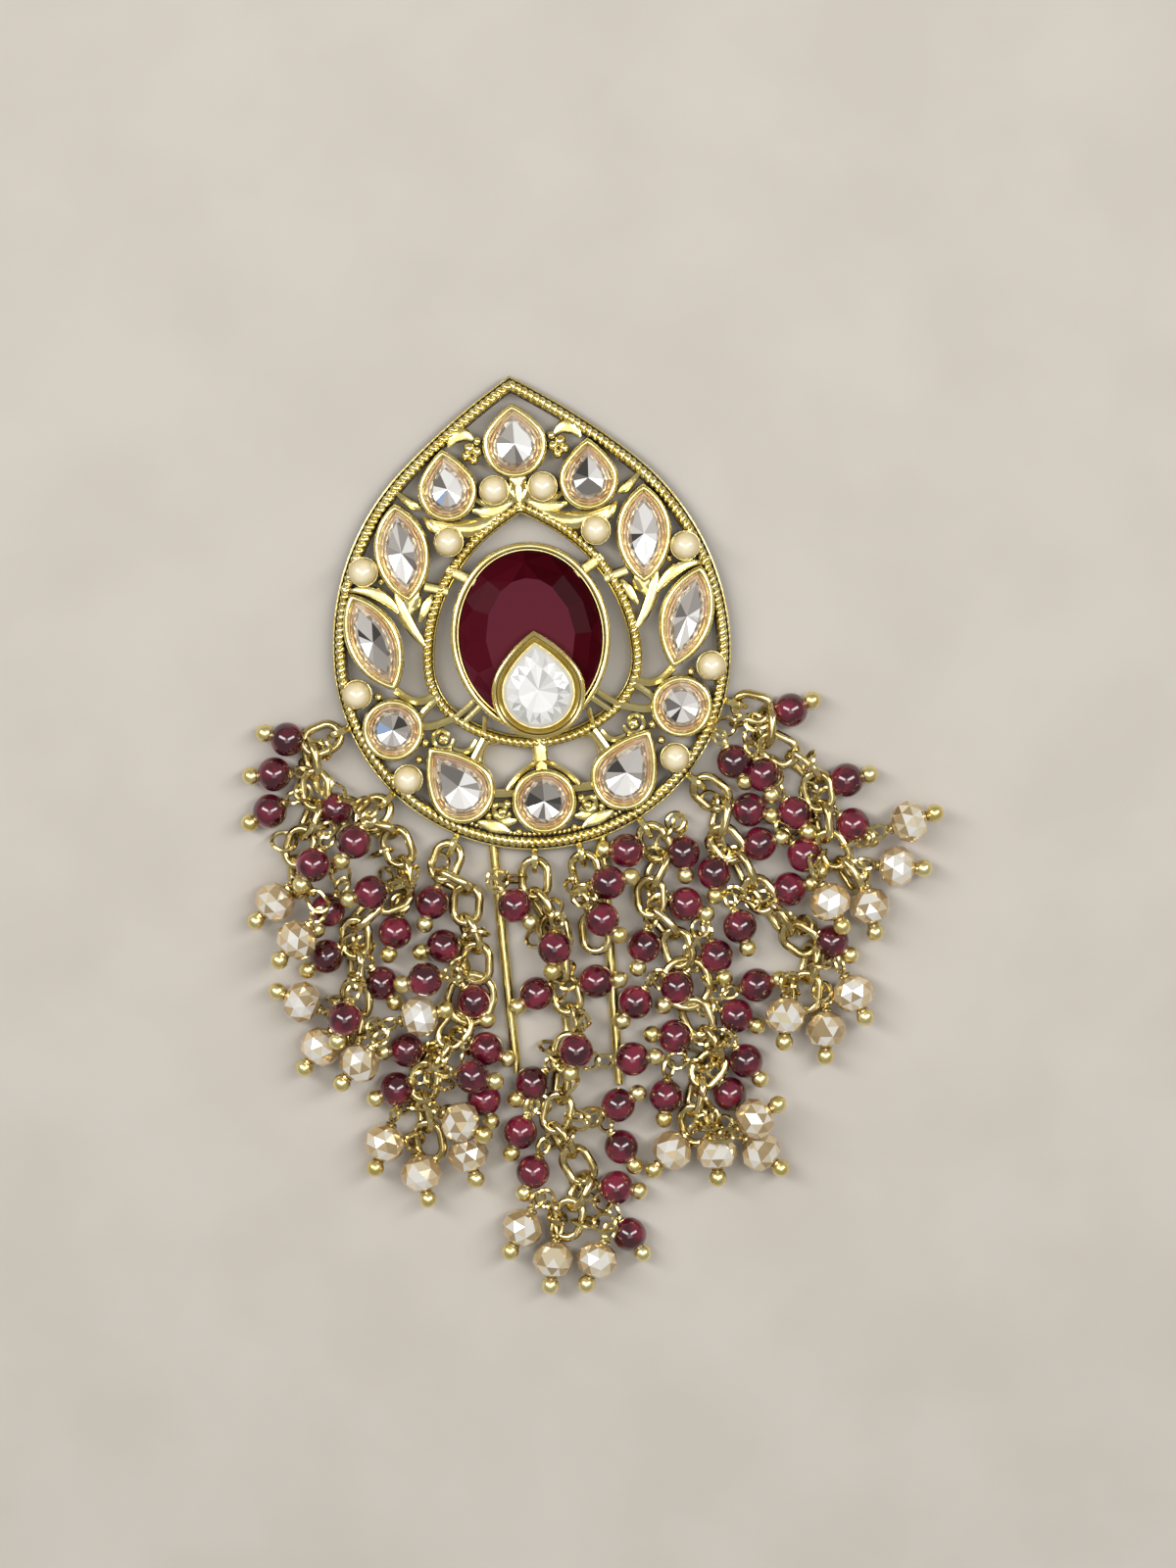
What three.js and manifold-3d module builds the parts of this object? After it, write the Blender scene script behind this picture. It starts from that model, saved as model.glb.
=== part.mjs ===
// Hair bun brooch, lying on its back: a pointed openwork plate set with a large red oval stone, a white drop
// and a ring of clear stones and pearls, with a hair fork behind it and a fringe of beaded chain strands.
// Millimetres, +Z up, +Y towards the plate's point. The origin is on the flat back of the red stone's cup.
import * as THREE from "three";
import { ConvexGeometry } from "three/addons/geometries/ConvexGeometry.js";
import { mergeVertices } from "three/addons/utils/BufferGeometryUtils.js";
import Module from "manifold-3d";

const wasm = await Module();
wasm.setup();
const radians = THREE.MathUtils.degToRad;

// Heights above the surface that the brooch lies on
const PLATE_BACK = 1.6;
const STRUT_TOP = 2.8;
const RIM_TOP = 3.1;
const SETTING_SEAT = 2.4;
const SETTING_TOP = 4.4;
const CUP_SEAT = 1.2;
const CUP_TOP = 4.6;
const DROP_BACK = 5.4;
const DROP_SEAT = 6.2;
const DROP_TOP = 7.6;
const PEARL_HEIGHT = 4.5;
const PEARL_CUP_TOP = 2.45;
const CHAIN_HEIGHT = 2.2;

// Widths, walls and radii
const RIM_WIDTH = 1.2;
const RING_HALF_WIDTH = 0.7;
const SETTING_WALL = 0.75;
const DROP_WALL = 1.1;
const STONE_GAP = 0.3;
const CUT_PAST = 1.0;
const PEARL_RADIUS = 1.75;
const PEARL_CUP_RADIUS = 2.1;
const FORK_RADIUS = 0.65;

// The plate's rim is a half circle below, and the strands hang from eyelets around it
const RIM_RADIUS = 24.4;
const RIM_CENTRE_Y = -1.9;
const EYELET_REACH = 1.2;
const EYELET_RADIUS = 1.35;
const EYELET_WIRE = 0.4;

// Chain and drops
const LINK_PITCH = 3.7;
const LINK_WIDTH = 4.4;
const BIG_LINK_PITCH = 5.2;
const BIG_LINK_WIDTH = 6.6;
const LINK_WIRE = 1.1;
const LINK_BITE = 0.2;
const LINK_ROLLS = [15, 65];
const LINK_SIDES = 6;
const WALK_STEP = 0.1;
const BEAD_RADIUS = 2.14;
const CRYSTAL_RADIUS = 2.6;
const TIP_RADIUS = 1.1;
const TIP_REACH = 0.7;
const EYE_REACH = 1.4;
const EYE_RADIUS = 0.5;
const PIN_RADIUS = 0.4;
const DROP_SIDES = 5;

// Settling of the loose drops
const SETTLE_PASSES = 120;
const DROP_GAP = 0.3;
const OWN_LINK_ROOM = 1.5;
const OTHER_LINK_ROOM = 2.5;
const LEVEL_HEIGHT = 3.2;
const FORK_POST_STEP = 1.0;

const GOLD = { color: 0xc8a440, roughness: 0.28, metalness: 1.0 };
const RUBY = { color: 0x4a0c16, roughness: 0.08, metalness: 0.0 };
const CLEAR = { color: 0xe8dccd, roughness: 0.04, metalness: 0.0 };
const WHITE = { color: 0xf1eee4, roughness: 0.15, metalness: 0.0 };
const PEARL = { color: 0xf0e4c4, roughness: 0.25, metalness: 0.0 };

// Outlines: each is a function of the inset that gives the points of the outline, drawn in from its edge

function arcPoints(arc, degreesPerStep) {
  const steps = Math.max(2, Math.round(Math.abs(arc.to - arc.from) / radians(degreesPerStep)));
  const curve = new THREE.EllipseCurve(arc.x, arc.y, arc.radius, arc.radius, arc.from, arc.to);
  return curve.getPoints(steps).slice(0, -1);
}

// A pointed oval runs in arcs from the bottom up the right side, the last one to the axis,
// and mirrored back down
function pointedOval(bottom, arcs, degreesPerStep) {
  const sides = [];
  const middle = new THREE.Vector2(0, bottom + arcs[0].radius);
  let from = -Math.PI / 2;
  arcs.forEach((arc, i) => {
    const to = from + radians(arc.sweep ?? 0);
    sides.push({ x: middle.x, y: middle.y, radius: arc.radius, from, to });
    if (i + 1 < arcs.length) {
      const step = arc.radius - arcs[i + 1].radius;
      middle.add(new THREE.Vector2(Math.cos(to), Math.sin(to)).multiplyScalar(step));
    }
    from = to;
  });
  return (inset) => {
    const right = sides.map((side) => ({ ...side, radius: side.radius - inset }));
    const flank = right.at(-1);
    flank.to = Math.acos(-flank.x / flank.radius);
    const left = right.toReversed().map((side) => (
      { ...side, x: -side.x, from: Math.PI - side.to, to: Math.PI - side.from }
    ));
    return [...right, ...left].flatMap((arc) => arcPoints(arc, degreesPerStep));
  };
}

// A pear has a round body about its centre and two flanks that meet in a tip at the given height
function pear(radius, tip, flankRadius) {
  const reach = flankRadius - radius;
  const rise = (flankRadius ** 2 - reach ** 2 - tip ** 2) / (2 * tip * reach);
  const sweep = 90 + THREE.MathUtils.radToDeg(Math.asin(rise));
  return pointedOval(-radius, [{ radius, sweep }, { radius: flankRadius }], 26);
}

function marquise(halfWidth, halfLength) {
  const radius = (halfLength ** 2 + halfWidth ** 2) / (2 * halfWidth);
  const offset = radius - halfWidth;
  return (inset) => {
    const half = Math.acos(offset / (radius - inset));
    const right = { x: -offset, y: 0, radius: radius - inset, from: -half, to: half };
    const left = { ...right, x: offset, from: Math.PI - half, to: Math.PI + half };
    return [right, left].flatMap((arc) => arcPoints(arc, 22));
  };
}

const round = (radius) => (inset) => (
  arcPoints({ x: 0, y: 0, radius: radius - inset, from: 0, to: 2 * Math.PI }, 26)
);

const oval = (halfWidth, halfLength) => (inset) => {
  const curve = new THREE.EllipseCurve(0, 0, halfWidth - inset, halfLength - inset, 0, 2 * Math.PI);
  return curve.getPoints(24).slice(0, -1);
};

const plateOutline = pointedOval(
  RIM_CENTRE_Y - RIM_RADIUS,
  [{ radius: RIM_RADIUS, sweep: 90 }, { radius: 31.5, sweep: 48 }, { radius: 90 }],
  11,
);
const ringOutline = pointedOval(
  -12.9,
  [{ radius: 15, sweep: 42 }, { radius: 8, sweep: 48 }, { radius: 20, sweep: 55 }, { radius: 40 }],
  14,
);
const cupOutline = oval(9.75, 11.5);
const dropOutline = pear(5.7, 7.6, 15);
const DROP_PLACE = { x: 0.45, y: -6.7 };

// Settings of the ring: places on the right side, leaning outwards by the given degrees.
// Those off the axis repeat mirrored on the left.
const SETTINGS = [
  { name: "top_pear", outline: pear(4.0, 5.2, 11), x: 0, y: 23.3, lean: 0 },
  { name: "upper_pear", outline: pear(3.7, 5.3, 11), x: 8.6, y: 18.4, lean: 3 },
  { name: "upper_marquise", outline: marquise(3.45, 6.15), x: 14.8, y: 11.4, lean: 4 },
  { name: "lower_marquise", outline: marquise(3.3, 6.6), x: 19.2, y: 0.9, lean: 20 },
  { name: "side_round", outline: round(3.85), x: 17.7, y: -10.0, lean: 0 },
  { name: "lower_pear", outline: pear(4.1, 6.8, 12), x: 9.9, y: -18.1, lean: 33 },
  { name: "bottom_round", outline: round(4.05), x: 0, y: -20.2, lean: 0 },
];

// Pearls: places on the right side, mirrored on the left
const PEARLS = [
  { name: "pearl_crown", x: 2.95, y: 18.1 },
  { name: "pearl_shoulder", x: 9.0, y: 12.3 },
  { name: "pearl_upper_side", x: 19.7, y: 9.5 },
  { name: "pearl_lower_side", x: 21.7, y: -5.35 },
  { name: "pearl_low", x: 16.4, y: -16.2 },
];

// Struts, tendrils and leaves between the settings: bars on the right side, mirrored on the left
const STRUTS = [
  { from: [12.0, 7.4], to: [9.6, 6.8], width: 1.2 },
  { from: [16.3, 5.3], to: [12.7, 0.0], width: 0.9 },
  { from: [14.4, 5.6], to: [12.8, 0.4], width: 0.9 },
  { from: [21.0, 7.3], to: [16.2, 5.3], width: 1.0 },
  { from: [16.4, -5.0], to: [14.2, -7.0], width: 1.0 },
  { from: [14.4, -7.0], to: [12.0, -6.0], width: 1.0 },
  { from: [14.2, -10.4], to: [9.8, -9.3], width: 0.9 },
  { from: [8.6, -15.2], to: [6.7, -12.0], width: 1.2 },
  { from: [8.2, -14.4], to: [10.2, -12.0], width: 0.8 },
  { from: [6.3, -18.5], to: [3.8, -18.5], width: 1.0 },
  { from: [7.5, 24.7], to: [3.6, 24.4], width: 1.0 },
  { from: [7.4, 13.6], to: [2.6, 15.2], width: 1.1 },
  { from: [3.2, 16.9], to: [0.2, 15.3], width: 1.2 },
  { from: [9.6, -9.2], to: [7.2, -7.6], width: 1.6 },
  { from: [6.6, 7.4], to: [9.2, 8.8], width: 1.5 },
  { from: [15.4, 19.4], to: [11.6, 15.6], width: 0.9 },
];
const AXIS_STRUTS = [
  { from: [0, 19.7], to: [0, 15.2], width: 1.4 },
  { from: [0, -12.6], to: [0, -16.4], width: 1.6 },
];

// Scrolls: small curls on the right side, mirrored on the left
const SCROLLS = [
  { x: 11.8, y: -11.4, radius: 1.6 },
  { x: 6.3, y: 22.9, radius: 1.5 },
  { x: 5.7, y: -22.0, radius: 2.2 },
];

// The fork's wire, from the tip of its right leg round the bow to the tip of its left leg
const FORK_ROUTE = [
  [6.3, -56.2], [6.5, -40], [6.8, -24], [7.2, -18], [7.6, -14.8], [6.8, -12.7], [4.4, -12.4], [0, -12.9],
  [-4.4, -12.4], [-6.8, -12.7], [-7.6, -14.8], [-7.2, -18], [-6.8, -24], [-6.5, -40], [-6.2, -53.8],
];

// A drop's row: the middle of its bead, the heading of the ball at its tip in degrees,
// and how many beads deep it lies
const maroon = (x, y, heading, level = 0) => ({ x, y, heading, level, radius: BEAD_RADIUS });
const crystal = (x, y, heading, level = 0) => ({ x, y, heading, level, radius: CRYSTAL_RADIUS });

// A strand's row: the angle of its eyelet from the plate's lowest point, the points that its chain passes,
// the place of a big link in the chain if it has one, and the drops that hang on it
const STRANDS = [
  {
    name: "strand_1",
    eyelet: -72,
    route: [
      [-26.5, -14], [-30, -16], [-27.5, -19], [-29.5, -21.5], [-31, -24.5], [-31.5, -27.5], [-30.5, -31],
    ],
    drops: [
      maroon(-28.5, -11.5, 160), maroon(-32.5, -14, 180), maroon(-33.5, -18, 205), maroon(-24, -19.5, 290),
      maroon(-23.5, -23, 232, 1), maroon(-28.5, -25.5, 235, 1), maroon(-27.5, -32, 235),
      crystal(-34, -30, 220), crystal(-31.5, -34.5, 225, 1),
    ],
  },
  {
    name: "strand_2",
    eyelet: -49,
    route: [
      [-19.5, -20.5], [-18.5, -24.5], [-17.5, -27.5], [-18, -31.5], [-21.5, -31], [-24.5, -33.5],
      [-25, -36.5], [-24, -38.5], [-25, -41], [-25, -43.5], [-26, -48.6],
    ],
    drops: [
      maroon(-22, -29.5, 192, 1), maroon(-20, -36.5, 250), maroon(-28.5, -37, 211), maroon(-21, -40, 300),
      maroon(-26.5, -45, 247, 1), crystal(-31.5, -42.5, 152), crystal(-30, -48, 228), crystal(-24, -48, 224),
      crystal(-18.5, -45, 10),
    ],
  },
  {
    name: "strand_3",
    eyelet: -27,
    bigLink: 5,
    route: [
      [-12, -27.5], [-10, -31], [-11, -34.5], [-9.5, -38.5], [-10.5, -43.5], [-13, -48], [-16.5, -50],
      [-18, -54], [-18, -58], [-17.5, -60.5], [-17.5, -63.4],
    ],
    drops: [
      maroon(-13.5, -30.5, 247), maroon(-14, -37, 190), maroon(-16.5, -41.5, 187, 1),
      maroon(-10.8, -44.5, 300), maroon(-17.5, -49.5, 180), maroon(-20.5, -54.5, 200),
      maroon(-9.5, -50, 330), maroon(-11.5, -53, 344, 1), maroon(-10.5, -56.5, 283),
      crystal(-23, -60.5, 245), crystal(-18.5, -63.5, 280), crystal(-13.5, -58.5, 326, 1),
      crystal(-13, -63, 283),
    ],
  },
  {
    name: "strand_4",
    eyelet: -4,
    route: [
      [-1.2, -29.5], [-0.6, -32], [-0.4, -34.5], [0.2, -38.5], [0.3, -42], [1, -46], [1, -50], [-0.5, -53.5],
      [-1, -57], [-2, -59], [-2.5, -62.5], [0.5, -64.5], [2.5, -66], [0, -68.5], [-2.2, -74.6],
    ],
    drops: [
      maroon(-5, -32.5, 309), maroon(-0.2, -38, 259, 1), maroon(6.4, -43, 0), maroon(-3, -44, 210),
      maroon(1.3, -51, 251, 1), maroon(9, -52, 0), maroon(-4, -55, 220), maroon(6, -59.5, 26),
      maroon(-6, -61, 242), maroon(6.5, -64.5, 300), maroon(-5, -66, 243), maroon(5.5, -69, 347),
      maroon(5, -73, 300),
      crystal(-7, -73, 238), crystal(-3, -76.5, 259), crystal(2.5, -76.5, 242),
    ],
  },
  {
    name: "strand_5",
    eyelet: 9,
    route: [[4.9, -35.2], [4.9, -39.2]],
    drops: [maroon(7, -31.5, 10), maroon(6, -34.5, 312, 1)],
  },
  {
    name: "strand_6",
    eyelet: 28,
    bigLink: 5,
    route: [
      [12, -29.5], [12, -33], [12, -35.5], [14.5, -38], [15.5, -41], [14.5, -43.5], [16, -47], [17.5, -51],
      [19, -53.5], [16.5, -55.5], [15, -58.5], [15, -61.5], [15.6, -64.2],
    ],
    drops: [
      maroon(9, -27.6, 172), maroon(14.5, -28, 272), maroon(16, -34, 330), maroon(10, -40, 250),
      maroon(14.7, -44.2, 230), maroon(9.5, -45.5, 230), maroon(20, -43, 285), maroon(22.7, -44.2, 10),
      maroon(22.3, -48.3, 330), maroon(13, -51, 170), maroon(22.3, -54, 303), maroon(20, -58, 300),
      maroon(12, -58, 260), crystal(12.8, -64.5, 222), crystal(17, -63.5, 268), crystal(20.5, -65, 315),
      crystal(22.5, -61, 27, 1),
    ],
  },
  {
    name: "strand_7",
    eyelet: 47,
    route: [
      [18.7, -24], [21, -26], [22.6, -28], [24.6, -33], [25, -35], [28, -36], [28.5, -39], [31.4, -40.6],
      [31.2, -43], [30, -45.5], [29.9, -48.8],
    ],
    drops: [
      maroon(25, -23.9, 340), maroon(19, -29.7, 268), maroon(26, -28.6, 12), maroon(28.2, -31.8, 10),
      maroon(22, -38, 285), maroon(32.8, -41.3, 320), crystal(27, -48.6, 263), crystal(31.8, -50.5, 265),
      crystal(35.4, -46.3, 292),
    ],
  },
  {
    name: "strand_8",
    eyelet: 71,
    route: [
      [26.4, -13.7], [28, -16], [30.4, -17], [33, -19.6], [34.5, -21.6], [33.7, -24], [33.2, -26.3],
      [34.5, -28.4], [35.5, -30.5], [37.6, -34.4],
    ],
    drops: [
      maroon(29.4, -12.2, 20), maroon(22.1, -20.1, 295), maroon(26.5, -19.5, 288), maroon(30.5, -20.5, 301),
      maroon(36.6, -20.9, 9), maroon(38.7, -25.9, 319), maroon(32.2, -28.6, 310),
      crystal(33, -33.7, 292), crystal(37.6, -35.2, 278), crystal(42, -32.1, 351), crystal(43.1, -26.7, 14),
    ],
  },
];

// Solids

function prism(points, low, high) {
  const depth = high - low;
  const geometry = new THREE.ExtrudeGeometry(new THREE.Shape(points), { depth, bevelEnabled: false });
  return geometry.translate(0, 0, low);
}

// A bar of a straight strut, lying on the plate's back and running a little into what it joins
function bar({ from, to, width }) {
  const start = new THREE.Vector2(...from);
  const along = new THREE.Vector2(...to).sub(start);
  const geometry = new THREE.BoxGeometry(along.length(), width, STRUT_TOP - PLATE_BACK);
  geometry.translate(along.length() / 2, 0, (PLATE_BACK + STRUT_TOP) / 2);
  return geometry.rotateZ(along.angle()).translate(start.x, start.y, 0);
}

// A cut stone is the hull of its outline at a few levels, each drawn in towards its middle
function cutStone(points, levels) {
  const corners = levels.flatMap(({ scale, height }) => (
    points.map((p) => new THREE.Vector3(p.x * scale, p.y * scale, height))
  ));
  return new ConvexGeometry(corners);
}

function solid(geometry) {
  const bare = geometry.index ? geometry.toNonIndexed() : geometry.clone();
  bare.deleteAttribute("normal");
  bare.deleteAttribute("uv");
  const merged = mergeVertices(bare, 1e-4);
  return new wasm.Manifold(new wasm.Mesh({
    numProp: 3,
    vertProperties: Float32Array.from(merged.attributes.position.array),
    triVerts: Uint32Array.from(merged.index.array),
  }));
}

const joined = (geometries) => geometries.map(solid).reduce((whole, body) => whole.add(body));

function geometryOf(body) {
  const { vertProperties, triVerts } = body.getMesh();
  const geometry = new THREE.BufferGeometry();
  geometry.setAttribute("position", new THREE.BufferAttribute(vertProperties, 3));
  geometry.setIndex(new THREE.BufferAttribute(triVerts, 1));
  geometry.computeVertexNormals();
  return geometry;
}

const brooch = new THREE.Group();

function addPiece(name, geometry, finish) {
  const piece = new THREE.Mesh(geometry, new THREE.MeshStandardMaterial(finish));
  piece.name = name;
  brooch.add(piece);
  return piece;
}

// The two sides that a row stands for: itself alone on the axis, or right and left
function sidesOf(row) {
  if (row.x === 0) return [{ side: 1, suffix: "" }];
  return [{ side: 1, suffix: "_right" }, { side: -1, suffix: "_left" }];
}

const mirrorX = (points, side) => (
  side > 0 ? points : points.map((p) => new THREE.Vector2(-p.x, p.y)).reverse()
);

// Setting bodies and pockets stand at their own place and lean
function placed(geometry, row, side) {
  return geometry.rotateZ(-side * radians(row.lean)).translate(side * row.x, row.y, 0);
}

// The eyelet of a strand stands upright on the rim's edge, with its hole facing along the rim
function eyeletPlace(angle, reach) {
  const out = new THREE.Vector2(Math.sin(radians(angle)), -Math.cos(radians(angle)));
  return out.multiplyScalar(RIM_RADIUS + reach).add(new THREE.Vector2(0, RIM_CENTRE_Y));
}

function eyelet(angle) {
  const place = eyeletPlace(angle, EYELET_REACH);
  const ring = new THREE.TorusGeometry(EYELET_RADIUS, EYELET_WIRE, 4, 8);
  return ring.rotateX(Math.PI / 2).rotateZ(radians(angle - 90)).translate(place.x, place.y, CHAIN_HEIGHT);
}

function makePlate() {
  const bodies = [];
  const pockets = [];
  const band = (outline, outer, inner) => {
    const disc = solid(prism(outline(outer), PLATE_BACK, RIM_TOP));
    bodies.push(geometryOf(disc.subtract(solid(prism(outline(inner), 0, SETTING_TOP)))));
  };
  band(plateOutline, 0, RIM_WIDTH);
  band(ringOutline, -RING_HALF_WIDTH, RING_HALF_WIDTH);
  bodies.push(prism(cupOutline(0), 0, CUP_TOP));
  pockets.push(prism(cupOutline(SETTING_WALL), CUP_SEAT, CUP_TOP + CUT_PAST));
  for (const row of SETTINGS) {
    for (const { side } of sidesOf(row)) {
      const body = prism(mirrorX(row.outline(0), side), PLATE_BACK, SETTING_TOP);
      const pocket = prism(mirrorX(row.outline(SETTING_WALL), side), SETTING_SEAT, SETTING_TOP + CUT_PAST);
      bodies.push(placed(body, row, side));
      pockets.push(placed(pocket, row, side));
    }
  }
  for (const row of PEARLS) {
    for (const { side } of sidesOf(row)) {
      const cup = prism(round(PEARL_CUP_RADIUS)(0), PLATE_BACK, PEARL_CUP_TOP);
      bodies.push(cup.translate(side * row.x, row.y, 0));
    }
  }
  for (const side of [1, -1]) {
    for (const { from, to, width } of STRUTS) {
      bodies.push(bar({ from: [side * from[0], from[1]], to: [side * to[0], to[1]], width }));
    }
    for (const { x, y, radius } of SCROLLS) {
      bodies.push(prism(round(radius)(0), PLATE_BACK, STRUT_TOP).translate(side * x, y, 0));
    }
  }
  bodies.push(...AXIS_STRUTS.map(bar));
  bodies.push(...STRANDS.map((strand) => eyelet(strand.eyelet)));
  return geometryOf(joined(bodies).subtract(joined(pockets)));
}

function makeDropSetting() {
  const body = solid(prism(dropOutline(0), DROP_BACK, DROP_TOP));
  return geometryOf(body.subtract(solid(prism(dropOutline(DROP_WALL), DROP_SEAT, DROP_TOP + CUT_PAST))));
}

function makeFork() {
  const route = FORK_ROUTE.map(([x, y]) => new THREE.Vector3(x, y, 0));
  const section = new THREE.Shape(round(FORK_RADIUS)(0).filter((_, i) => i % 2 === 0));
  const wire = new THREE.ExtrudeGeometry(section, {
    steps: 26,
    bevelEnabled: false,
    extrudePath: new THREE.CatmullRomCurve3(route),
  });
  return geometryOf(solid(wire)).translate(0, 0, FORK_RADIUS);
}

// Chains

// The point at a distance along a route of straight stretches
function pointAlong(route, distance) {
  let left = distance;
  for (let i = 1; i < route.length; i += 1) {
    const length = route[i].distanceTo(route[i - 1]);
    if (left <= length) return route[i - 1].clone().lerp(route[i], left / length);
    left -= length;
  }
  return route.at(-1).clone();
}

const routeLength = (route) => route.slice(1).reduce((sum, p, i) => sum + p.distanceTo(route[i]), 0);

// The joints between links: points a link's pitch apart, straight out of the eyelet and then along the route
function chainJoints({ eyelet: angle, route, bigLink }) {
  const hold = EYELET_REACH + (LINK_WIRE - LINK_BITE) / 2;
  const firstLink = [eyeletPlace(angle, hold), eyeletPlace(angle, hold + LINK_PITCH + WALK_STEP)];
  const points = [...firstLink, ...route.map(([x, y]) => new THREE.Vector2(x, y))]
    .map((p) => new THREE.Vector3(p.x, p.y, CHAIN_HEIGHT));
  const length = routeLength(points);
  const joints = [points[0]];
  for (let along = 0; along < length; along += WALK_STEP) {
    const pitch = joints.length - 1 === bigLink ? BIG_LINK_PITCH : LINK_PITCH;
    const here = pointAlong(points, along);
    if (here.distanceTo(joints.at(-1)) >= pitch) joints.push(here);
  }
  return joints;
}

// A link is an oval ring between two joints, rolled about its length, that bites a little into the next one
function linkFrame(start, end, isBig, roll) {
  const along = end.clone().sub(start);
  const length = along.length() + LINK_WIRE - LINK_BITE;
  const xAxis = along.normalize();
  const side = new THREE.Vector3(-xAxis.y, xAxis.x, 0);
  const yAxis = side.multiplyScalar(Math.cos(roll)).add(new THREE.Vector3(0, 0, Math.sin(roll)));
  const zAxis = xAxis.clone().cross(yAxis);
  const across = (isBig ? BIG_LINK_WIDTH : LINK_WIDTH) - LINK_WIRE;
  return { isBig, length, across, xAxis, yAxis, zAxis, middle: start.clone().lerp(end, 0.5) };
}

function chainLinks(strand) {
  const joints = chainJoints(strand);
  return joints.slice(1).map((end, i) => {
    const isBig = i === strand.bigLink;
    return linkFrame(joints[i], end, isBig, isBig ? 0 : radians(LINK_ROLLS[i % LINK_ROLLS.length]));
  });
}

// The ring's wire has three sides, with one edge inwards where the next link bears on it
function linkRing({ length, across, xAxis, yAxis, zAxis, middle }) {
  const ring = new THREE.TorusGeometry(length / 2, -LINK_WIRE / 2, 3, LINK_SIDES);
  ring.scale(1, across / length, 1);
  return ring.applyMatrix4(new THREE.Matrix4().makeBasis(xAxis, yAxis, zAxis).setPosition(middle));
}

// The middles of a link's two long sides, where drops hook on
function linkHooks({ across, yAxis, middle }) {
  const reach = (across / 2) * Math.cos(Math.PI / LINK_SIDES);
  return [reach, -reach].map((step) => middle.clone().addScaledVector(yAxis, step));
}

// Drops

// The balls that stand for a drop while it settles: its bead, the ball at its tip and its eye
function dropBalls(drop) {
  const heading = new THREE.Vector3(Math.cos(radians(drop.heading)), Math.sin(radians(drop.heading)), 0);
  return [
    { offset: new THREE.Vector3(), radius: drop.radius },
    { offset: heading.clone().multiplyScalar(drop.radius + TIP_REACH), radius: TIP_RADIUS },
    { offset: heading.clone().multiplyScalar(-drop.radius - EYE_REACH), radius: EYE_RADIUS },
  ];
}

// How far and which way a ball is pushed out of another place that needs room
function push(ball, place, room) {
  const away = ball.clone().sub(place);
  const distance = away.length();
  return distance < room ? away.multiplyScalar((room - distance) / distance) : null;
}

// Places along the fork's wire that the drops keep clear of
function forkPosts() {
  const route = FORK_ROUTE.map(([x, y]) => new THREE.Vector3(x, y, FORK_RADIUS));
  const length = routeLength(route);
  const posts = [];
  for (let along = 0; along < length; along += FORK_POST_STEP) posts.push(pointAlong(route, along));
  return posts;
}

function settle(drops, links, posts) {
  const move = (drop, step, share) => {
    drop.place.addScaledVector(step, share);
    drop.place.z = Math.max(drop.place.z, drop.radius);
  };
  const pushPair = (a, b) => {
    for (const mine of a.balls) {
      for (const theirs of b.balls) {
        const from = a.place.clone().add(mine.offset);
        const step = push(from, b.place.clone().add(theirs.offset), mine.radius + theirs.radius + DROP_GAP);
        if (step) {
          move(a, step, 0.5);
          move(b, step, -0.5);
        }
      }
    }
  };
  const pushOff = (drop, place, ballRoom) => {
    for (const ball of drop.balls) {
      const room = ballRoom(ball);
      const step = room > 0 && push(drop.place.clone().add(ball.offset), place, room);
      if (step) move(drop, step, 1);
    }
  };
  for (let pass = 0; pass < SETTLE_PASSES; pass += 1) {
    drops.forEach((drop, i) => drops.slice(0, i).forEach((other) => pushPair(drop, other)));
    for (const drop of drops) {
      for (const { place, strand } of links) {
        const own = strand === drop.strand;
        const bead = drop.balls[0];
        pushOff(drop, place, (ball) => {
          if (own) return ball === bead ? ball.radius + OWN_LINK_ROOM : 0;
          return ball.radius + OTHER_LINK_ROOM;
        });
      }
      for (const place of posts) pushOff(drop, place, (ball) => ball.radius + FORK_RADIUS + DROP_GAP);
      const rimAxis = new THREE.Vector3(0, RIM_CENTRE_Y, drop.place.z);
      pushOff(drop, rimAxis, (ball) => ball.radius + RIM_RADIUS + DROP_GAP);
    }
  }
}

// A drop's bead and ball are turned as one shape about the pin, and a wire runs from the bead to its link
function dropSolids(drop, hooks) {
  const r = drop.radius;
  const tip = r + TIP_REACH;
  const profile = [
    [0, -r], [0.87 * r, -0.5 * r], [0.87 * r, 0.5 * r], [0.3 * r, 0.93 * r],
    [TIP_RADIUS, tip], [0, tip + TIP_RADIUS],
  ].map(([across, along]) => new THREE.Vector2(across, along));
  const turned = new THREE.LatheGeometry(profile, DROP_SIDES).rotateZ(radians(drop.heading - 90));
  const eye = drop.place.clone().add(drop.balls[2].offset);
  const hook = hooks.reduce((best, p) => (p.distanceTo(eye) < best.distanceTo(eye) ? p : best));
  const along = hook.clone().sub(drop.place);
  const wire = new THREE.CylinderGeometry(PIN_RADIUS, PIN_RADIUS, along.length(), 3);
  const upright = new THREE.Vector3(0, 1, 0);
  wire.applyQuaternion(new THREE.Quaternion().setFromUnitVectors(upright, along.clone().normalize()));
  const middle = drop.place.clone().addScaledVector(along, 0.5);
  return [turned.translate(...drop.place.toArray()), wire.translate(...middle.toArray())];
}

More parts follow.
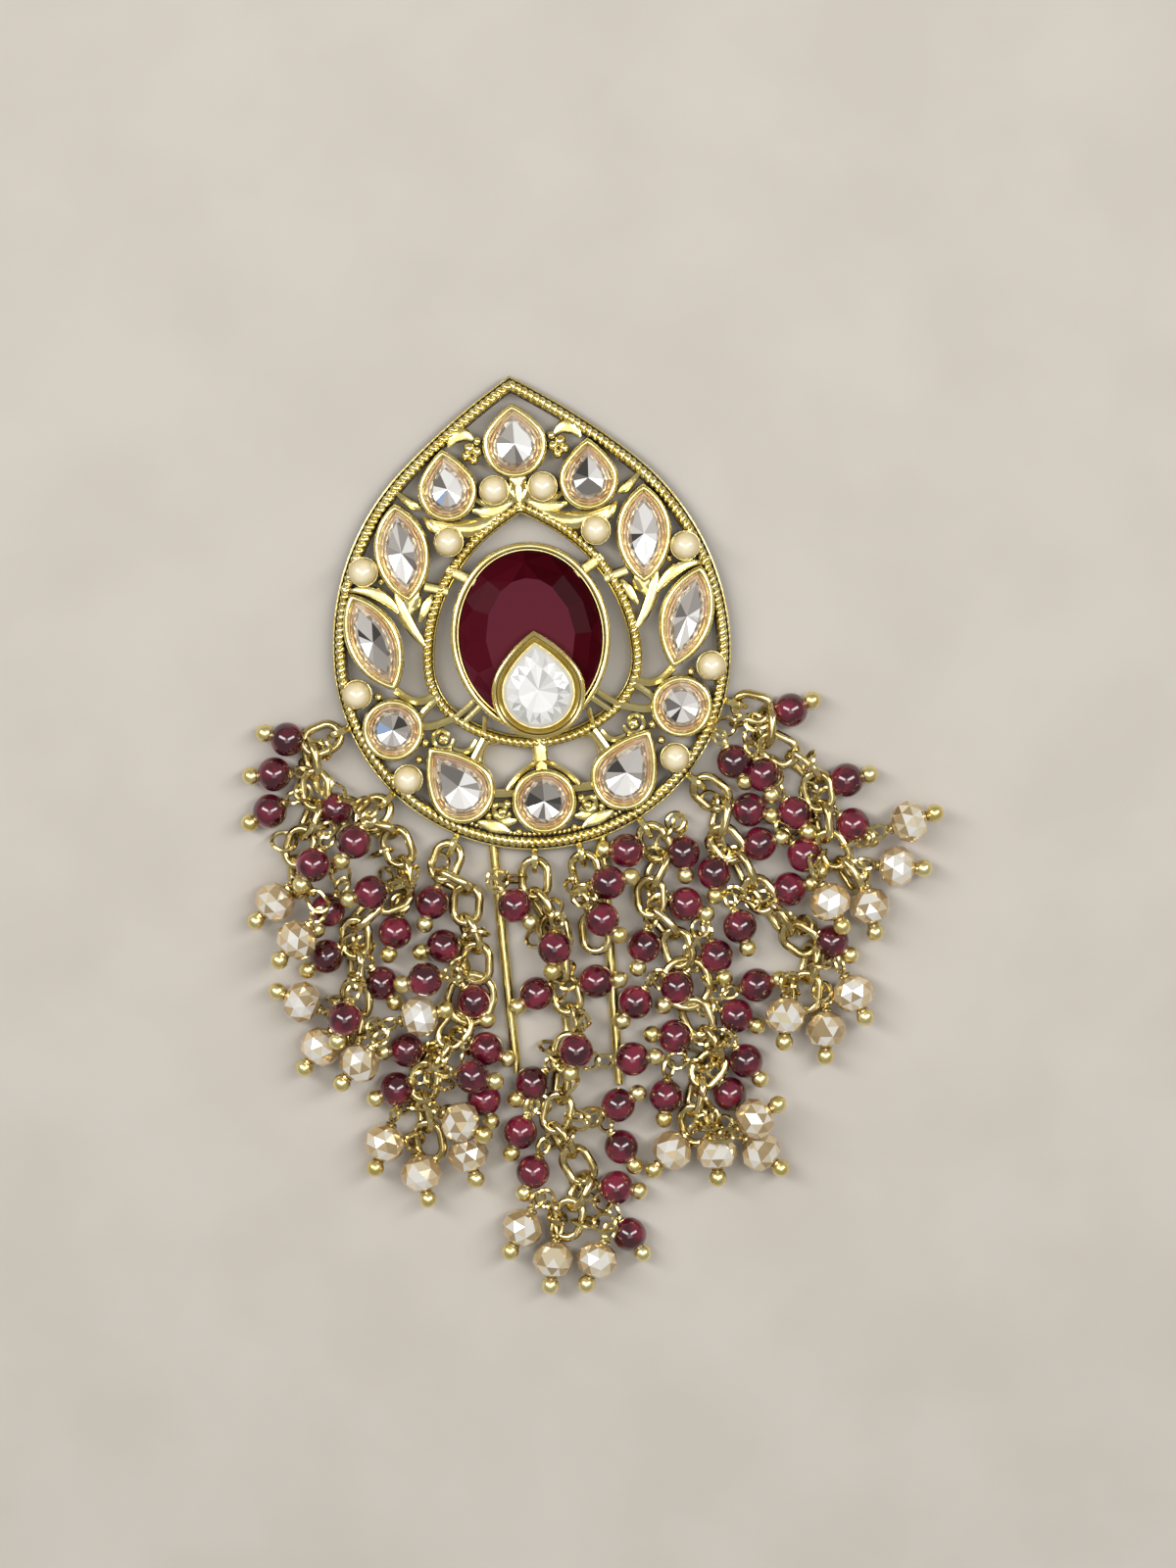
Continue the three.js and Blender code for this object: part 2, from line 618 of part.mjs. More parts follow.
function makeStrands() {
  const chains = STRANDS.map(chainLinks);
  const drops = STRANDS.flatMap((strand, i) => strand.drops.map((row) => ({
    ...row,
    strand: i,
    place: new THREE.Vector3(row.x, row.y, row.radius + row.level * LEVEL_HEIGHT),
    balls: dropBalls(row),
  })));
  const links = chains.flatMap((chain, strand) => (
    chain.filter(({ isBig }) => !isBig).map(({ middle }) => ({ place: middle, strand }))
  ));
  settle(drops, links, forkPosts());
  STRANDS.forEach((strand, i) => {
    const hooks = chains[i].flatMap(linkHooks);
    const bodies = chains[i].map(linkRing);
    for (const drop of drops.filter((d) => d.strand === i)) bodies.push(...dropSolids(drop, hooks));
    addPiece(strand.name, geometryOf(joined(bodies)), GOLD);
  });
}

addPiece("plate", makePlate(), GOLD);
addPiece("ruby_stone", cutStone(cupOutline(SETTING_WALL + STONE_GAP), [
  { scale: 0.5, height: CUP_SEAT + STONE_GAP },
  { scale: 1, height: CUP_TOP - 1.2 },
  { scale: 1, height: CUP_TOP - 0.6 },
  { scale: 0.58, height: DROP_BACK - STONE_GAP },
]), RUBY);
addPiece("drop_setting", makeDropSetting().translate(DROP_PLACE.x, DROP_PLACE.y, 0), GOLD);
addPiece("drop_stone", cutStone(dropOutline(DROP_WALL + STONE_GAP), [
  { scale: 1, height: DROP_SEAT + STONE_GAP },
  { scale: 1, height: DROP_TOP - 0.4 },
  { scale: 0.55, height: DROP_TOP + 0.7 },
]).translate(DROP_PLACE.x, DROP_PLACE.y, 0), WHITE);
for (const row of SETTINGS) {
  for (const { side, suffix } of sidesOf(row)) {
    const stone = cutStone(mirrorX(row.outline(SETTING_WALL + STONE_GAP), side), [
      { scale: 0.6, height: SETTING_SEAT + STONE_GAP },
      { scale: 1, height: SETTING_TOP - 0.5 },
      { scale: 0.58, height: SETTING_TOP + 0.6 },
    ]);
    addPiece(row.name + suffix, placed(stone, row, side), CLEAR);
  }
}
for (const row of PEARLS) {
  for (const { side, suffix } of sidesOf(row)) {
    const pearl = new THREE.SphereGeometry(PEARL_RADIUS, 8, 5).rotateX(Math.PI / 2);
    addPiece(row.name + suffix, pearl.translate(side * row.x, row.y, PEARL_HEIGHT), PEARL);
  }
}
addPiece("hair_fork", makeFork(), GOLD);
makeStrands();

export default brooch;
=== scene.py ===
# %% [markdown]
# # A hair bun brooch
#
# This lesson gives a brooch its looks. Its solid frame is made already, and says how large each piece is
# and where it lies. Here each piece gets the form that the eye sees: rope edges, bezels, cut stones,
# links and glass beads. Sizes are in millimetres while a piece is modelled. A finished piece is scaled
# to metres, with its place in its mesh.

# %% Load the frame
import math
import random

import bmesh
import bpy
from mathutils import Matrix, Vector
from mathutils.geometry import interpolate_bezier


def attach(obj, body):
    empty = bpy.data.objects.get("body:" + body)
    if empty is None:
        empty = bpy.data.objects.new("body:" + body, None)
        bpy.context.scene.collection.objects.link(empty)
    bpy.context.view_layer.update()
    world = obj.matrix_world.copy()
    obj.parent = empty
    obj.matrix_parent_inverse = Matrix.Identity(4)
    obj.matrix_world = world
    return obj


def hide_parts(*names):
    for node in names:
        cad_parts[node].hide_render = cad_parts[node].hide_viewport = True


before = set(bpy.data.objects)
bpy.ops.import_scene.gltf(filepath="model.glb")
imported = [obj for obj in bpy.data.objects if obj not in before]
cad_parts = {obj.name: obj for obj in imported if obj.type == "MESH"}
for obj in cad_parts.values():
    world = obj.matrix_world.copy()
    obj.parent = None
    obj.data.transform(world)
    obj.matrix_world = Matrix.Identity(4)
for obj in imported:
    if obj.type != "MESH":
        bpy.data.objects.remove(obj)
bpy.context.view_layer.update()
MM = 0.001
UP = Vector((0, 0, 1))
scene = bpy.context.scene
print("nodes in the frame:", len(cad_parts))

# %% [markdown]
# ## Camera, light and floor
#
# The brooch lies on its back and is seen from almost straight above, with its point turned a little to
# the left. A camera that isn't turned already looks down with +Y up the picture, so it only needs a
# small turn and lean. A long lens far away keeps the plate from looking bent. The lens follows from the
# height that the picture covers.

# %% Camera
VIEW_CENTRE = Vector((5.5, -18.6, 3.0)) * MM
VIEW_HEIGHT = 192 * MM
VIEW_DISTANCE = 0.55
VIEW_TURN = math.radians(-4.7)
VIEW_LEAN = math.radians(-4.5)
SENSOR = 36.0

camera_data = bpy.data.cameras.new("photo_camera")
camera_data.sensor_fit = "VERTICAL"
camera_data.sensor_height = SENSOR
camera_data.lens = SENSOR * VIEW_DISTANCE / VIEW_HEIGHT
camera = bpy.data.objects.new("photo_camera", camera_data)
scene.collection.objects.link(camera)
turned = Matrix.Rotation(VIEW_TURN, 4, "Z") @ Matrix.Rotation(VIEW_LEAN, 4, "X")
camera.matrix_world = Matrix.Translation(VIEW_CENTRE) @ turned @ Matrix.Translation(UP * VIEW_DISTANCE)
scene.camera = camera
print("lens:", round(camera_data.lens, 1), "mm")

# %% [markdown]
# Polished metal and glass show what stands around them. Two long soft boxes, one on each side of the
# camera, draw the pair of streaks that each bead carries. A wide one overhead lights the flat tops, and
# a dim room between them leaves the hollows dark.

# %% Soft boxes and room
SOFT_BOXES = [
    # name, place in metres, width, length, watts
    ("left_box", (-0.30, 0.16, 0.50), 0.14, 0.50, 2.0),
    ("right_box", (0.30, 0.10, 0.50), 0.14, 0.50, 1.8),
    ("overhead_box", (0.02, -0.10, 0.80), 0.45, 0.40, 0.75),
]
ROOM = (0.32, 0.31, 0.29, 1.0)


def soft_box(name, place, width, length, watts):
    data = bpy.data.lights.new(name, "AREA")
    data.shape = "RECTANGLE"
    data.size = width
    data.size_y = length
    data.energy = watts
    box = bpy.data.objects.new(name, data)
    box.location = place
    box.rotation_euler = (VIEW_CENTRE - box.location).to_track_quat("-Z", "Y").to_euler()
    scene.collection.objects.link(box)


for row in SOFT_BOXES:
    soft_box(*row)
room = bpy.data.worlds.new("room")
room.use_nodes = True
room.node_tree.nodes["Background"].inputs["Color"].default_value = ROOM
scene.world = room
scene.view_settings.view_transform = "Standard"
print("soft boxes:", len(SOFT_BOXES))

# %% [markdown]
# ## Shader maths
#
# A finish is a small network of nodes. Written node by node it is long and hard to read, so a small
# class wraps a socket, and Python's own operators add the Math nodes. One method adds any other node:
# its settings are set first, then its sockets are filled with values or links.

# %% The Shade class


class Shade:
    def __init__(self, tree, socket=None):
        self.tree = tree
        self.socket = socket

    def add(self, kind, settings, inputs, output=0):
        node = self.tree.nodes.new(kind)
        for name, value in settings.items():
            if name == "stops":
                set_stops(node.color_ramp, value)
            else:
                setattr(node, name, value)
        for name, value in inputs.items():
            self.feed(node.inputs[name], value)
        return Shade(self.tree, node.outputs[output])

    def feed(self, socket, value):
        if isinstance(value, Shade):
            self.tree.links.new(value.socket, socket)
        else:
            socket.default_value = value

    def maths(self, operation, first, second):
        return self.add("ShaderNodeMath", {"operation": operation}, {0: first, 1: second})

    def __add__(self, other):
        return self.maths("ADD", self, other)

    def __sub__(self, other):
        return self.maths("SUBTRACT", self, other)

    def __rsub__(self, other):
        return self.maths("SUBTRACT", other, self)

    def __mul__(self, other):
        return self.maths("MULTIPLY", self, other)

    __radd__ = __add__
    __rmul__ = __mul__


def set_stops(ramp, stops):
    while len(ramp.elements) < len(stops):
        ramp.elements.new(1.0)
    for element, (position, colour) in zip(ramp.elements, stops):
        element.position = position
        element.color = (*colour, 1.0)


# %% [markdown]
# Every finish here starts in the same way: a Principled shader and the place on the piece in
# millimetres. These helpers give that start, the height, a soft noise, a smooth step between two levels,
# a mix of two colours and a bump.

# %% Helpers for finishes


def start_finish(name):
    material = bpy.data.materials.new(name)
    material.use_nodes = True
    tree = material.node_tree
    place = Shade(tree).add("ShaderNodeTexCoord", {}, {}, "Object")
    place = place.add("ShaderNodeVectorMath", {"operation": "SCALE"}, {0: place, "Scale": 1 / MM})
    return material, place


def height_of(place):
    return place.add("ShaderNodeSeparateXYZ", {}, {0: place}, "Z")


def noise(place, scale, detail=2.0):
    return place.add("ShaderNodeTexNoise", {}, {"Vector": place, "Scale": scale, "Detail": detail})


def smooth_step(value, low, high):
    settings = {"interpolation_type": "SMOOTHSTEP"}
    return value.add("ShaderNodeMapRange", settings, {"Value": value, "From Min": low, "From Max": high})


def mix(share, first, second):
    node = share.tree.nodes.new("ShaderNodeMix")
    node.data_type = "RGBA"
    colours = [s for s in node.inputs if s.type == "RGBA"]
    share.feed(node.inputs["Factor"], share)
    for socket, colour in zip(colours, (first, second)):
        share.feed(socket, colour if isinstance(colour, Shade) else (*colour, 1.0))
    return Shade(share.tree, next(s for s in node.outputs if s.type == "RGBA"))


def bump(height, strength, distance):
    inputs = {"Height": height, "Strength": strength, "Distance": distance * MM}
    return height.add("ShaderNodeBump", {}, inputs)


def end_finish(material, place, sockets):
    shader = material.node_tree.nodes["Principled BSDF"]
    for name, value in sockets.items():
        place.feed(shader.inputs[name], value)
    print("finish:", material.name)
    return material


# %% [markdown]
# ## Antique gold
#
# The metal is yellow gold plate under a dark wash, which is wiped off the raised parts and stays in the
# hollows. The same dark is also painted shade: low walls and floors are darkened by their height, and
# narrow grooves by an Ambient Occlusion node, which measures how much of the sky a point sees past the
# piece's own metal. A fine noise breaks the edge of the wash and shade, roughens the metal a little and
# gives it the grain of a casting.

# %% Gold finishes
PLATE_COLOURS = (0.90, 0.73, 0.27), (0.97, 0.85, 0.41)
CHAIN_COLOURS = (0.53, 0.40, 0.15), (0.85, 0.72, 0.36)
TIP_COLOURS = (0.86, 0.70, 0.27), (0.97, 0.86, 0.44)
# The dark wash, which also serves as painted shade in the hollows and grooves.
DARK_WASH_AND_SHADE = (0.030, 0.020, 0.008)
GROOVE_REACH = 1.0


def antique_gold(name, colours, wash_and_shade_heights, groove_wash_and_shade, roughness):
    material, place = start_finish(name)
    grain = noise(place, 2.6, 4.0)
    cloud = noise(place, 0.35)
    height = height_of(place) + 0.9 * (grain - 0.5)
    settings = {"only_local": True, "samples": 8}
    open_sky = place.add("ShaderNodeAmbientOcclusion", settings, {"Distance": GROOVE_REACH * MM}, "AO")
    # Dark wash and painted shade: low walls and floors darken by their height, narrow grooves by occlusion.
    clear_of_wash_and_shade = smooth_step(height, *wash_and_shade_heights) * smooth_step(open_sky + 0.3 * (grain - 0.5), *groove_wash_and_shade)
    metal = mix(smooth_step(cloud, 0.35, 0.65), *colours)
    return end_finish(material, place, {
        "Base Color": mix(clear_of_wash_and_shade, DARK_WASH_AND_SHADE, metal),
        "Metallic": 0.40 + 0.60 * clear_of_wash_and_shade,
        "Roughness": roughness + 0.22 * (1 - clear_of_wash_and_shade) + 0.10 * (grain - 0.5),
        "Normal": bump(grain, 0.25, 0.05),
    })


plate_gold = antique_gold("plate_gold", PLATE_COLOURS, (1.75, 2.6), (0.26, 0.62), 0.19)
chain_gold = antique_gold("chain_gold", CHAIN_COLOURS, (-0.1, 1.2), (0.08, 0.42), 0.17)
fork_gold = antique_gold("fork_gold", PLATE_COLOURS, (-1.0, 0.3), (0.0, 0.3), 0.20)
tip_gold = antique_gold("tip_gold", TIP_COLOURS, (-1.0, 0.3), (0.0, 0.3), 0.30)

# %% [markdown]
# ## Stones, pearls and glass
#
# A foiled stone shows a patchwork of light and dark facets, and here it is painted reflection. Each
# facet gets a number of its own when it is cut, and the finish reads that attribute through a ramp, so
# that facets keep their tone from every side. The first stop is a painted flash of blue, which a few
# facets show. Facets against the bezel show the peach foil instead.

# %% Stone finishes


def facet_finish(name, stops, edge_colour, metallic, roughness, coat):
    material, place = start_finish(name)
    tone = place.add("ShaderNodeAttribute", {"attribute_name": "tone"}, {}, "Fac")
    edge = place.add("ShaderNodeAttribute", {"attribute_name": "edge"}, {}, "Fac")
    ramp = tone.add("ShaderNodeValToRGB", {"stops": stops}, {"Fac": tone})
    clouded = noise(place, 0.8)
    return end_finish(material, place, {
        "Base Color": mix(edge * (0.85 + 0.6 * (clouded - 0.5)), ramp, edge_colour),
        "Metallic": metallic,
        "Roughness": roughness + 0.05 * clouded,
        "Coat Weight": coat,
        "Coat Roughness": 0.03,
    })


# Painted reflection in the foiled stones, from a painted flash of blue through black to white.
CLEAR_STOPS = [
    (0.0, (0.32, 0.43, 0.64)), (0.03, (0.020, 0.017, 0.015)), (0.20, (0.09, 0.080, 0.073)),
    (0.40, (0.26, 0.24, 0.22)), (0.60, (0.46, 0.43, 0.40)), (0.82, (0.68, 0.65, 0.62)),
    (1.0, (0.92, 0.91, 0.89)),
]
# The crystals' tones run from painted shade at the dark end to a painted highlight at the white end.
CHAMPAGNE_STOPS = [
    (0.0, (0.13, 0.075, 0.030)), (0.20, (0.30, 0.20, 0.10)), (0.42, (0.55, 0.42, 0.23)),
    (0.70, (0.79, 0.67, 0.43)), (1.0, (1.0, 0.98, 0.92)),
]
RUBY_STOPS = [
    (0.0, (0.026, 0.0006, 0.0018)), (0.5, (0.062, 0.0030, 0.0080)), (1.0, (0.115, 0.0210, 0.0340)),
]
WHITE_STOPS = [
    (0.0, (0.42, 0.415, 0.40)), (0.4, (0.62, 0.615, 0.60)), (1.0, (0.78, 0.78, 0.76)),
]
clear_foil_reflections = facet_finish("clear_foil_reflections", CLEAR_STOPS, (0.50, 0.255, 0.125), 0.25, 0.04, 1.0)
champagne_glass = facet_finish("champagne_glass", CHAMPAGNE_STOPS, (0.82, 0.53, 0.21), 0.45, 0.04, 1.0)
ruby_glass = facet_finish("ruby_glass", RUBY_STOPS, (0.03, 0.001, 0.003), 0.0, 0.12, 0.0)
ruby_glass.node_tree.nodes["Principled BSDF"].inputs["Specular IOR Level"].default_value = 0.02
milky_stone = facet_finish("milky_stone", WHITE_STOPS, (0.62, 0.58, 0.48), 0.0, 0.10, 0.6)

# %% [markdown]
# A pearl is painted light: ivory on top and a darker yellow below, as if lit from above. A wine-red glass
# bead is dark, with redder clouds that are a painted glow of light through the glass. Both carry a clear
# coat, which gives them their sharp streaks of light. The floor is plain and pale, with a faint mottle.

# %% Pearl, bead and floor finishes
PEARL_HEIGHT = 4.5
PEARL_RADIUS = 1.75
PEARL_LIGHT_STOPS = [
    (0.0, (0.54, 0.41, 0.19)), (0.35, (0.62, 0.48, 0.22)), (0.78, (0.72, 0.59, 0.32)),
    (1.0, (0.84, 0.75, 0.53)),
]


def pearl_lit_from_above():
    material, place = start_finish("pearl_lit_from_above")
    height = height_of(place) + 0.5 * (noise(place, 0.9) - 0.5)
    # Painted light: lighter towards the top, darker and yellower below.
    lit = smooth_step(height, PEARL_HEIGHT, PEARL_HEIGHT + PEARL_RADIUS)
    return end_finish(material, place, {
        "Base Color": lit.add("ShaderNodeValToRGB", {"stops": PEARL_LIGHT_STOPS}, {"Fac": lit}),
        "Roughness": 0.20 + 0.08 * noise(place, 2.0),
        "Coat Weight": 1.0,
        "Coat Roughness": 0.06,
        "Coat IOR": 1.7,
    })


def wine_glass():
    material, place = start_finish("wine_glass")
    # Painted glow: redder clouds stand in for light passing through the glass.
    painted_glow = smooth_step(noise(place, 0.42, 3.0), 0.35, 0.70)
    return end_finish(material, place, {
        "Base Color": mix(painted_glow, (0.040, 0.0014, 0.0070), (0.190, 0.009, 0.032)),
        "Roughness": 0.10 + 0.06 * noise(place, 3.0),
        "Coat Weight": 1.0,
        "Coat Roughness": 0.02,
    })


def pale_floor():
    material, place = start_finish("pale_floor")
    mottle = smooth_step(noise(place, 0.05, 3.0), 0.3, 0.7)
    return end_finish(material, place, {
        "Base Color": mix(mottle, (0.50, 0.46, 0.41), (0.54, 0.50, 0.45)),
        "Roughness": 0.7 + 0.1 * mottle,
    })


pearl_coat = pearl_lit_from_above()
wine_coat = wine_glass()

floor_shape = bmesh.new()
bmesh.ops.create_grid(floor_shape, x_segments=2, y_segments=2, size=1.5)
floor_mesh = bpy.data.meshes.new("floor")
floor_shape.to_mesh(floor_mesh)
floor_mesh.materials.append(pale_floor())
floor = bpy.data.objects.new("floor", floor_mesh)
scene.collection.objects.link(floor)

# %% [markdown]
# ## Tools for shapes
#
# The brooch is made of a few kinds of shape, repeated. An outline is a chain of arcs, drawn by spinning
# one vertex round each arc's centre, and mirrored. A wall is a loft: loops of its outline at several
# insets and heights, bridged one to the next. A bar is a circle extruded from point to point, and a ring
# is a circle that is spun. A shape that repeats is made once and stamped where it is needed.

# %% Outlines from arcs
RIGHT_ANGLE = 90.0


def pointed_oval(bottom, arcs):
    """Arcs of (radius, sweep) that run smoothly up the right side, the last one to the axis."""
    def rows(inset):
        centre = Vector((0, bottom + arcs[0][0], 0))
        angle = -RIGHT_ANGLE
        found = []
        for (radius, sweep), (next_radius, _) in zip(arcs, arcs[1:] + arcs[-1:]):
            reach = radius - inset
            if sweep is None:
                sweep = math.degrees(math.acos(-centre.x / reach)) - angle
            found.append((centre.copy(), reach, angle, sweep))
            angle += sweep
            centre += direction(angle) * (radius - next_radius)
        return found
    return rows


def direction(degrees):
    return Vector((math.cos(math.radians(degrees)), math.sin(math.radians(degrees)), 0))


def pear(radius, tip, flank):
    reach = flank - radius
    rise = (flank ** 2 - reach ** 2 - tip ** 2) / (2 * tip * reach)
    return pointed_oval(-radius, [(radius, RIGHT_ANGLE + math.degrees(math.asin(rise))), (flank, None)])


def marquise(half_width, half_length):
    radius = (half_length ** 2 + half_width ** 2) / (2 * half_width)
    centre = Vector((half_width - radius, 0, 0))

    def rows(inset):
        half = math.degrees(math.acos(-centre.x / (radius - inset)))
        return [(centre, radius - inset, -half, 2 * half)]
    return rows


def disc(radius):
    return pointed_oval(-radius, [(radius, None)])


def add_loop(bm, outline, inset, height, segment):
    """Add the outline's closed loop and give its edges. Its steps come from the outline without an inset."""
    old = set(bm.edges)
    end = None
    for (centre, radius, start, sweep), (_, full_radius, _, full_sweep) in zip(outline(inset), outline(0.0)):
        middle = centre + UP * height
        if end is None:
            end = bm.verts.new(middle + direction(start) * radius)
        steps = max(1, round(math.radians(full_sweep) * full_radius / segment))
        made = bmesh.ops.spin(bm, geom=[end], cent=middle, axis=UP, angle=math.radians(sweep), steps=steps)
        end = made["geom_last"][0]
    half = [edge for edge in bm.edges if edge not in old]
    corners = list({vert for edge in half for vert in edge.verts})
    bmesh.ops.mirror(bm, geom=corners + half, matrix=Matrix(), merge_dist=0.01, axis="X")
    return [edge for edge in bm.edges if edge not in old]


# %% Walls from loops


def levels(inset, height, steps):
    """The insets and heights that a wall passes, from its start through (inset, rise) steps."""
    found = [(inset, height)]
    for step_in, step_up in steps:
        inset += step_in
        height += step_up
        found.append((inset, height))
    return found


def loft(outline, rows, segment):
    """Bridge loops of an outline at given insets and heights. Gives the bmesh, the loops and the bands."""
    bm = bmesh.new()
    loops = [add_loop(bm, outline, inset, height, segment) for inset, height in rows]
    bands = [
        bmesh.ops.bridge_loops(bm, edges=lower + upper)["faces"] for lower, upper in zip(loops, loops[1:])
    ]
    return bm, loops, bands


def rounded(width, height, count=6):
    """Steps over the round top of a wall: half an ellipse from its outer side to its inner one."""
    angles = [math.pi * i / count for i in range(count + 1)]
    across = [width / 2 * (1 - math.cos(a)) for a in angles]
    up = [height * math.sin(a) for a in angles]
    return [(across[i + 1] - across[i], up[i + 1] - up[i]) for i in range(count)]


def fill(bm, loop):
    return bmesh.ops.contextual_create(bm, geom=loop)["faces"][0]


# %% Bars and rings


def frame_at(place, along, across, up):
    along = along.normalized()
    side = UP.cross(along)
    side = side.normalized() if side.length > 0.01 else Vector((1, 0, 0))
    turn = Matrix((side, along.cross(side), along)).transposed().to_4x4()
    return Matrix.Translation(place) @ turn @ Matrix.Diagonal((across, up, 1, 1))


def bar(points, across, up, sides=8):
    """A bar through the points. across and up give its half width and half height at each point."""
    bm = bmesh.new()
    ends = [points[0]] + list(points) + [points[-1]]
    frames = [
        frame_at(point, ends[i + 2] - ends[i], across[i], up[i]) for i, point in enumerate(points)
    ]
    bmesh.ops.create_circle(bm, cap_ends=True, radius=1, segments=sides, matrix=frames[0])
    bm.faces.ensure_lookup_table()
    face = bm.faces[0]
    for before, after in zip(frames, frames[1:]):
        face = bmesh.ops.extrude_discrete_faces(bm, faces=[face])["faces"][0]
        bmesh.ops.transform(bm, verts=face.verts, matrix=after @ before.inverted())
    fill(bm, [edge for edge in bm.edges if edge.is_boundary])
    bmesh.ops.recalc_face_normals(bm, faces=bm.faces)
    return bm


def ring(length, across, wire, around=16, sides=8):
    """An oval ring of round wire in the XY plane. A circle is spun and its halves are drawn apart."""
    bm = bmesh.new()
    standing = Matrix.Translation((across / 2, 0, 0)) @ Matrix.Rotation(math.pi / 2, 4, "X")
    bmesh.ops.create_circle(bm, radius=wire / 2, segments=sides, matrix=standing)
    bmesh.ops.spin(
        bm, geom=bm.verts[:] + bm.edges[:], cent=(0, 0, 0), axis=UP, angle=2 * math.pi, steps=around,
        use_merge=True,
    )
    bmesh.ops.remove_doubles(bm, verts=bm.verts, dist=0.001)
    bmesh.ops.rotate(bm, verts=bm.verts, cent=(0, 0, 0), matrix=Matrix.Rotation(math.pi / around, 3, "Z"))
    for side in (1, -1):
        half = [v for v in bm.verts if v.co.x * side > 0]
        bmesh.ops.translate(bm, verts=half, vec=(side * (length - across) / 2, 0, 0))
    bmesh.ops.recalc_face_normals(bm, faces=bm.faces)
    return bm


def lathe(profile, steps=20):
    """Spin a profile of (radius, height) points about the Z axis."""
    bm = bmesh.new()
    corners = [bm.verts.new((radius, 0, height)) for radius, height in profile]
    edges = [bm.edges.new(pair) for pair in zip(corners, corners[1:])]
    bmesh.ops.spin(
        bm, geom=corners + edges, cent=(0, 0, 0), axis=UP, angle=2 * math.pi, steps=steps, use_merge=True,
    )
    bmesh.ops.remove_doubles(bm, verts=bm.verts, dist=0.001)
    bmesh.ops.recalc_face_normals(bm, faces=bm.faces)
    return bm


# %% Stamps and pieces
MIRROR = Matrix.Diagonal((-1, 1, 1, 1))
CREASE = math.radians(38)


def as_stamp(bm, smooth=True):
    """Keep a finished shape as a mesh that can be stamped. Edges sharper than the crease stay sharp."""
    for face in bm.faces:
        face.smooth = smooth
    for edge in bm.edges:
        edge.smooth = edge.calc_face_angle(0) < CREASE
    mesh = bpy.data.meshes.new("stamp")
    bm.to_mesh(mesh)
    bm.free()
    return mesh


def stamp(bm, shape, matrix):
    copy = shape.copy()
    copy.transform(matrix)
    if matrix.is_negative:
        copy.flip_normals()
    bm.from_mesh(copy)
    bpy.data.meshes.remove(copy)


def stamp_once(bm, part, matrix=Matrix(), smooth=True):
    shape = as_stamp(part, smooth)
    stamp(bm, shape, matrix)
    bpy.data.meshes.remove(shape)


def make_piece(name, bm, material, nodes):
    bmesh.ops.scale(bm, verts=bm.verts, vec=(MM, MM, MM))
    mesh = bpy.data.meshes.new(name)
    bm.to_mesh(mesh)
    bm.free()
    mesh.materials.append(material)
    piece = bpy.data.objects.new(name, mesh)
    scene.collection.objects.link(piece)
    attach(piece, "root")
    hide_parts(*nodes)
    print("piece:", name, len(mesh.polygons), "faces")


def both_sides(x):
    """The matrices for a row on the right side: its own, and the mirror's unless it lies on the axis."""
    return [Matrix()] if x == 0 else [Matrix(), MIRROR]


# %% [markdown]
# ## The openwork plate
#
# The plate is cast and soldered in one: a rim and an inner ring with rope edges, a cup for the red
# stone, a bezel for each clear stone, a small cup under each pearl, and tendrils between them. The
# outlines repeat the frame's own dimensions, so the metal lies where the frame has it. The height of
# each step comes from the frame too.

# %% Heights and outlines
PLATE_BACK = 1.6
SETTING_SEAT = 2.4
CUP_SEAT = 1.2
CUP_TOP = 4.6
DROP_BACK = 5.4
DROP_SEAT = 6.2
DROP_TOP = 7.6
RIM_RADIUS = 24.4
RIM_CENTRE = Vector((0, -1.9, 0))

plate_outline = pointed_oval(-26.3, [(RIM_RADIUS, 90), (31.5, 48), (90, None)])
ring_outline = pointed_oval(-12.9, [(15, 42), (8, 48), (20, 55), (40, None)])
cup_outline = pointed_oval(-11.5, [(8.6, 46.7), (12.83, 86.6), (8.6, None)])
drop_outline = pear(5.7, 7.6, 15)
DROP_PLACE = Vector((0.45, -6.7, 0))
openwork = bmesh.new()

# %% [markdown]
# The rim climbs from its outer flange, down into a groove and over a ridge. The ridge carries the rope:
# one slanted grain of gold on each step of an outline that is drawn with the grain's own length.

# %% Rim and ring
RIM_SEGMENT = 0.8
RING_HALF_WIDTH = 0.75
ROPE_SLANT = math.radians(40)
GRAIN_OVERLAP = 1.08
RIM_STEPS = [
    (0, 0.60), *rounded(0.28, 0.12, 4), (0.05, -0.42), (0.10, 0.0), (0.05, 0.62), *rounded(1.05, 0.22),
    (0.06, -0.60), (0.22, -0.05), (0, -0.15),
]
RING_STEPS = [
    (0, 0.8), (0.10, 0.10), *rounded(0.95, 0.15), (0.06, -0.35), *rounded(0.34, 0.30), (0, -0.55),
]
ROPES = [
    # outline, inset of its line, grain's length, width and height, height of its middle,
    # half width of the run at the bottom, or none where it goes all the way round
    (plate_outline, 1.00, 0.86, 1.55, 0.95, 2.62, None),
    (ring_outline, -0.18, 0.80, 1.40, 0.95, 2.64, None),
    (plate_outline, 2.02, 0.66, 0.66, 0.60, 2.30, 9.5),
]

for outline, inset, steps in ((plate_outline, 0.0, RIM_STEPS), (ring_outline, -RING_HALF_WIDTH, RING_STEPS)):
    part, loops, _ = loft(outline, levels(inset, PLATE_BACK, steps), RIM_SEGMENT)
    bmesh.ops.bridge_loops(part, edges=loops[-1] + loops[0])
    bmesh.ops.recalc_face_normals(part, faces=part.faces)
    stamp_once(openwork, part)

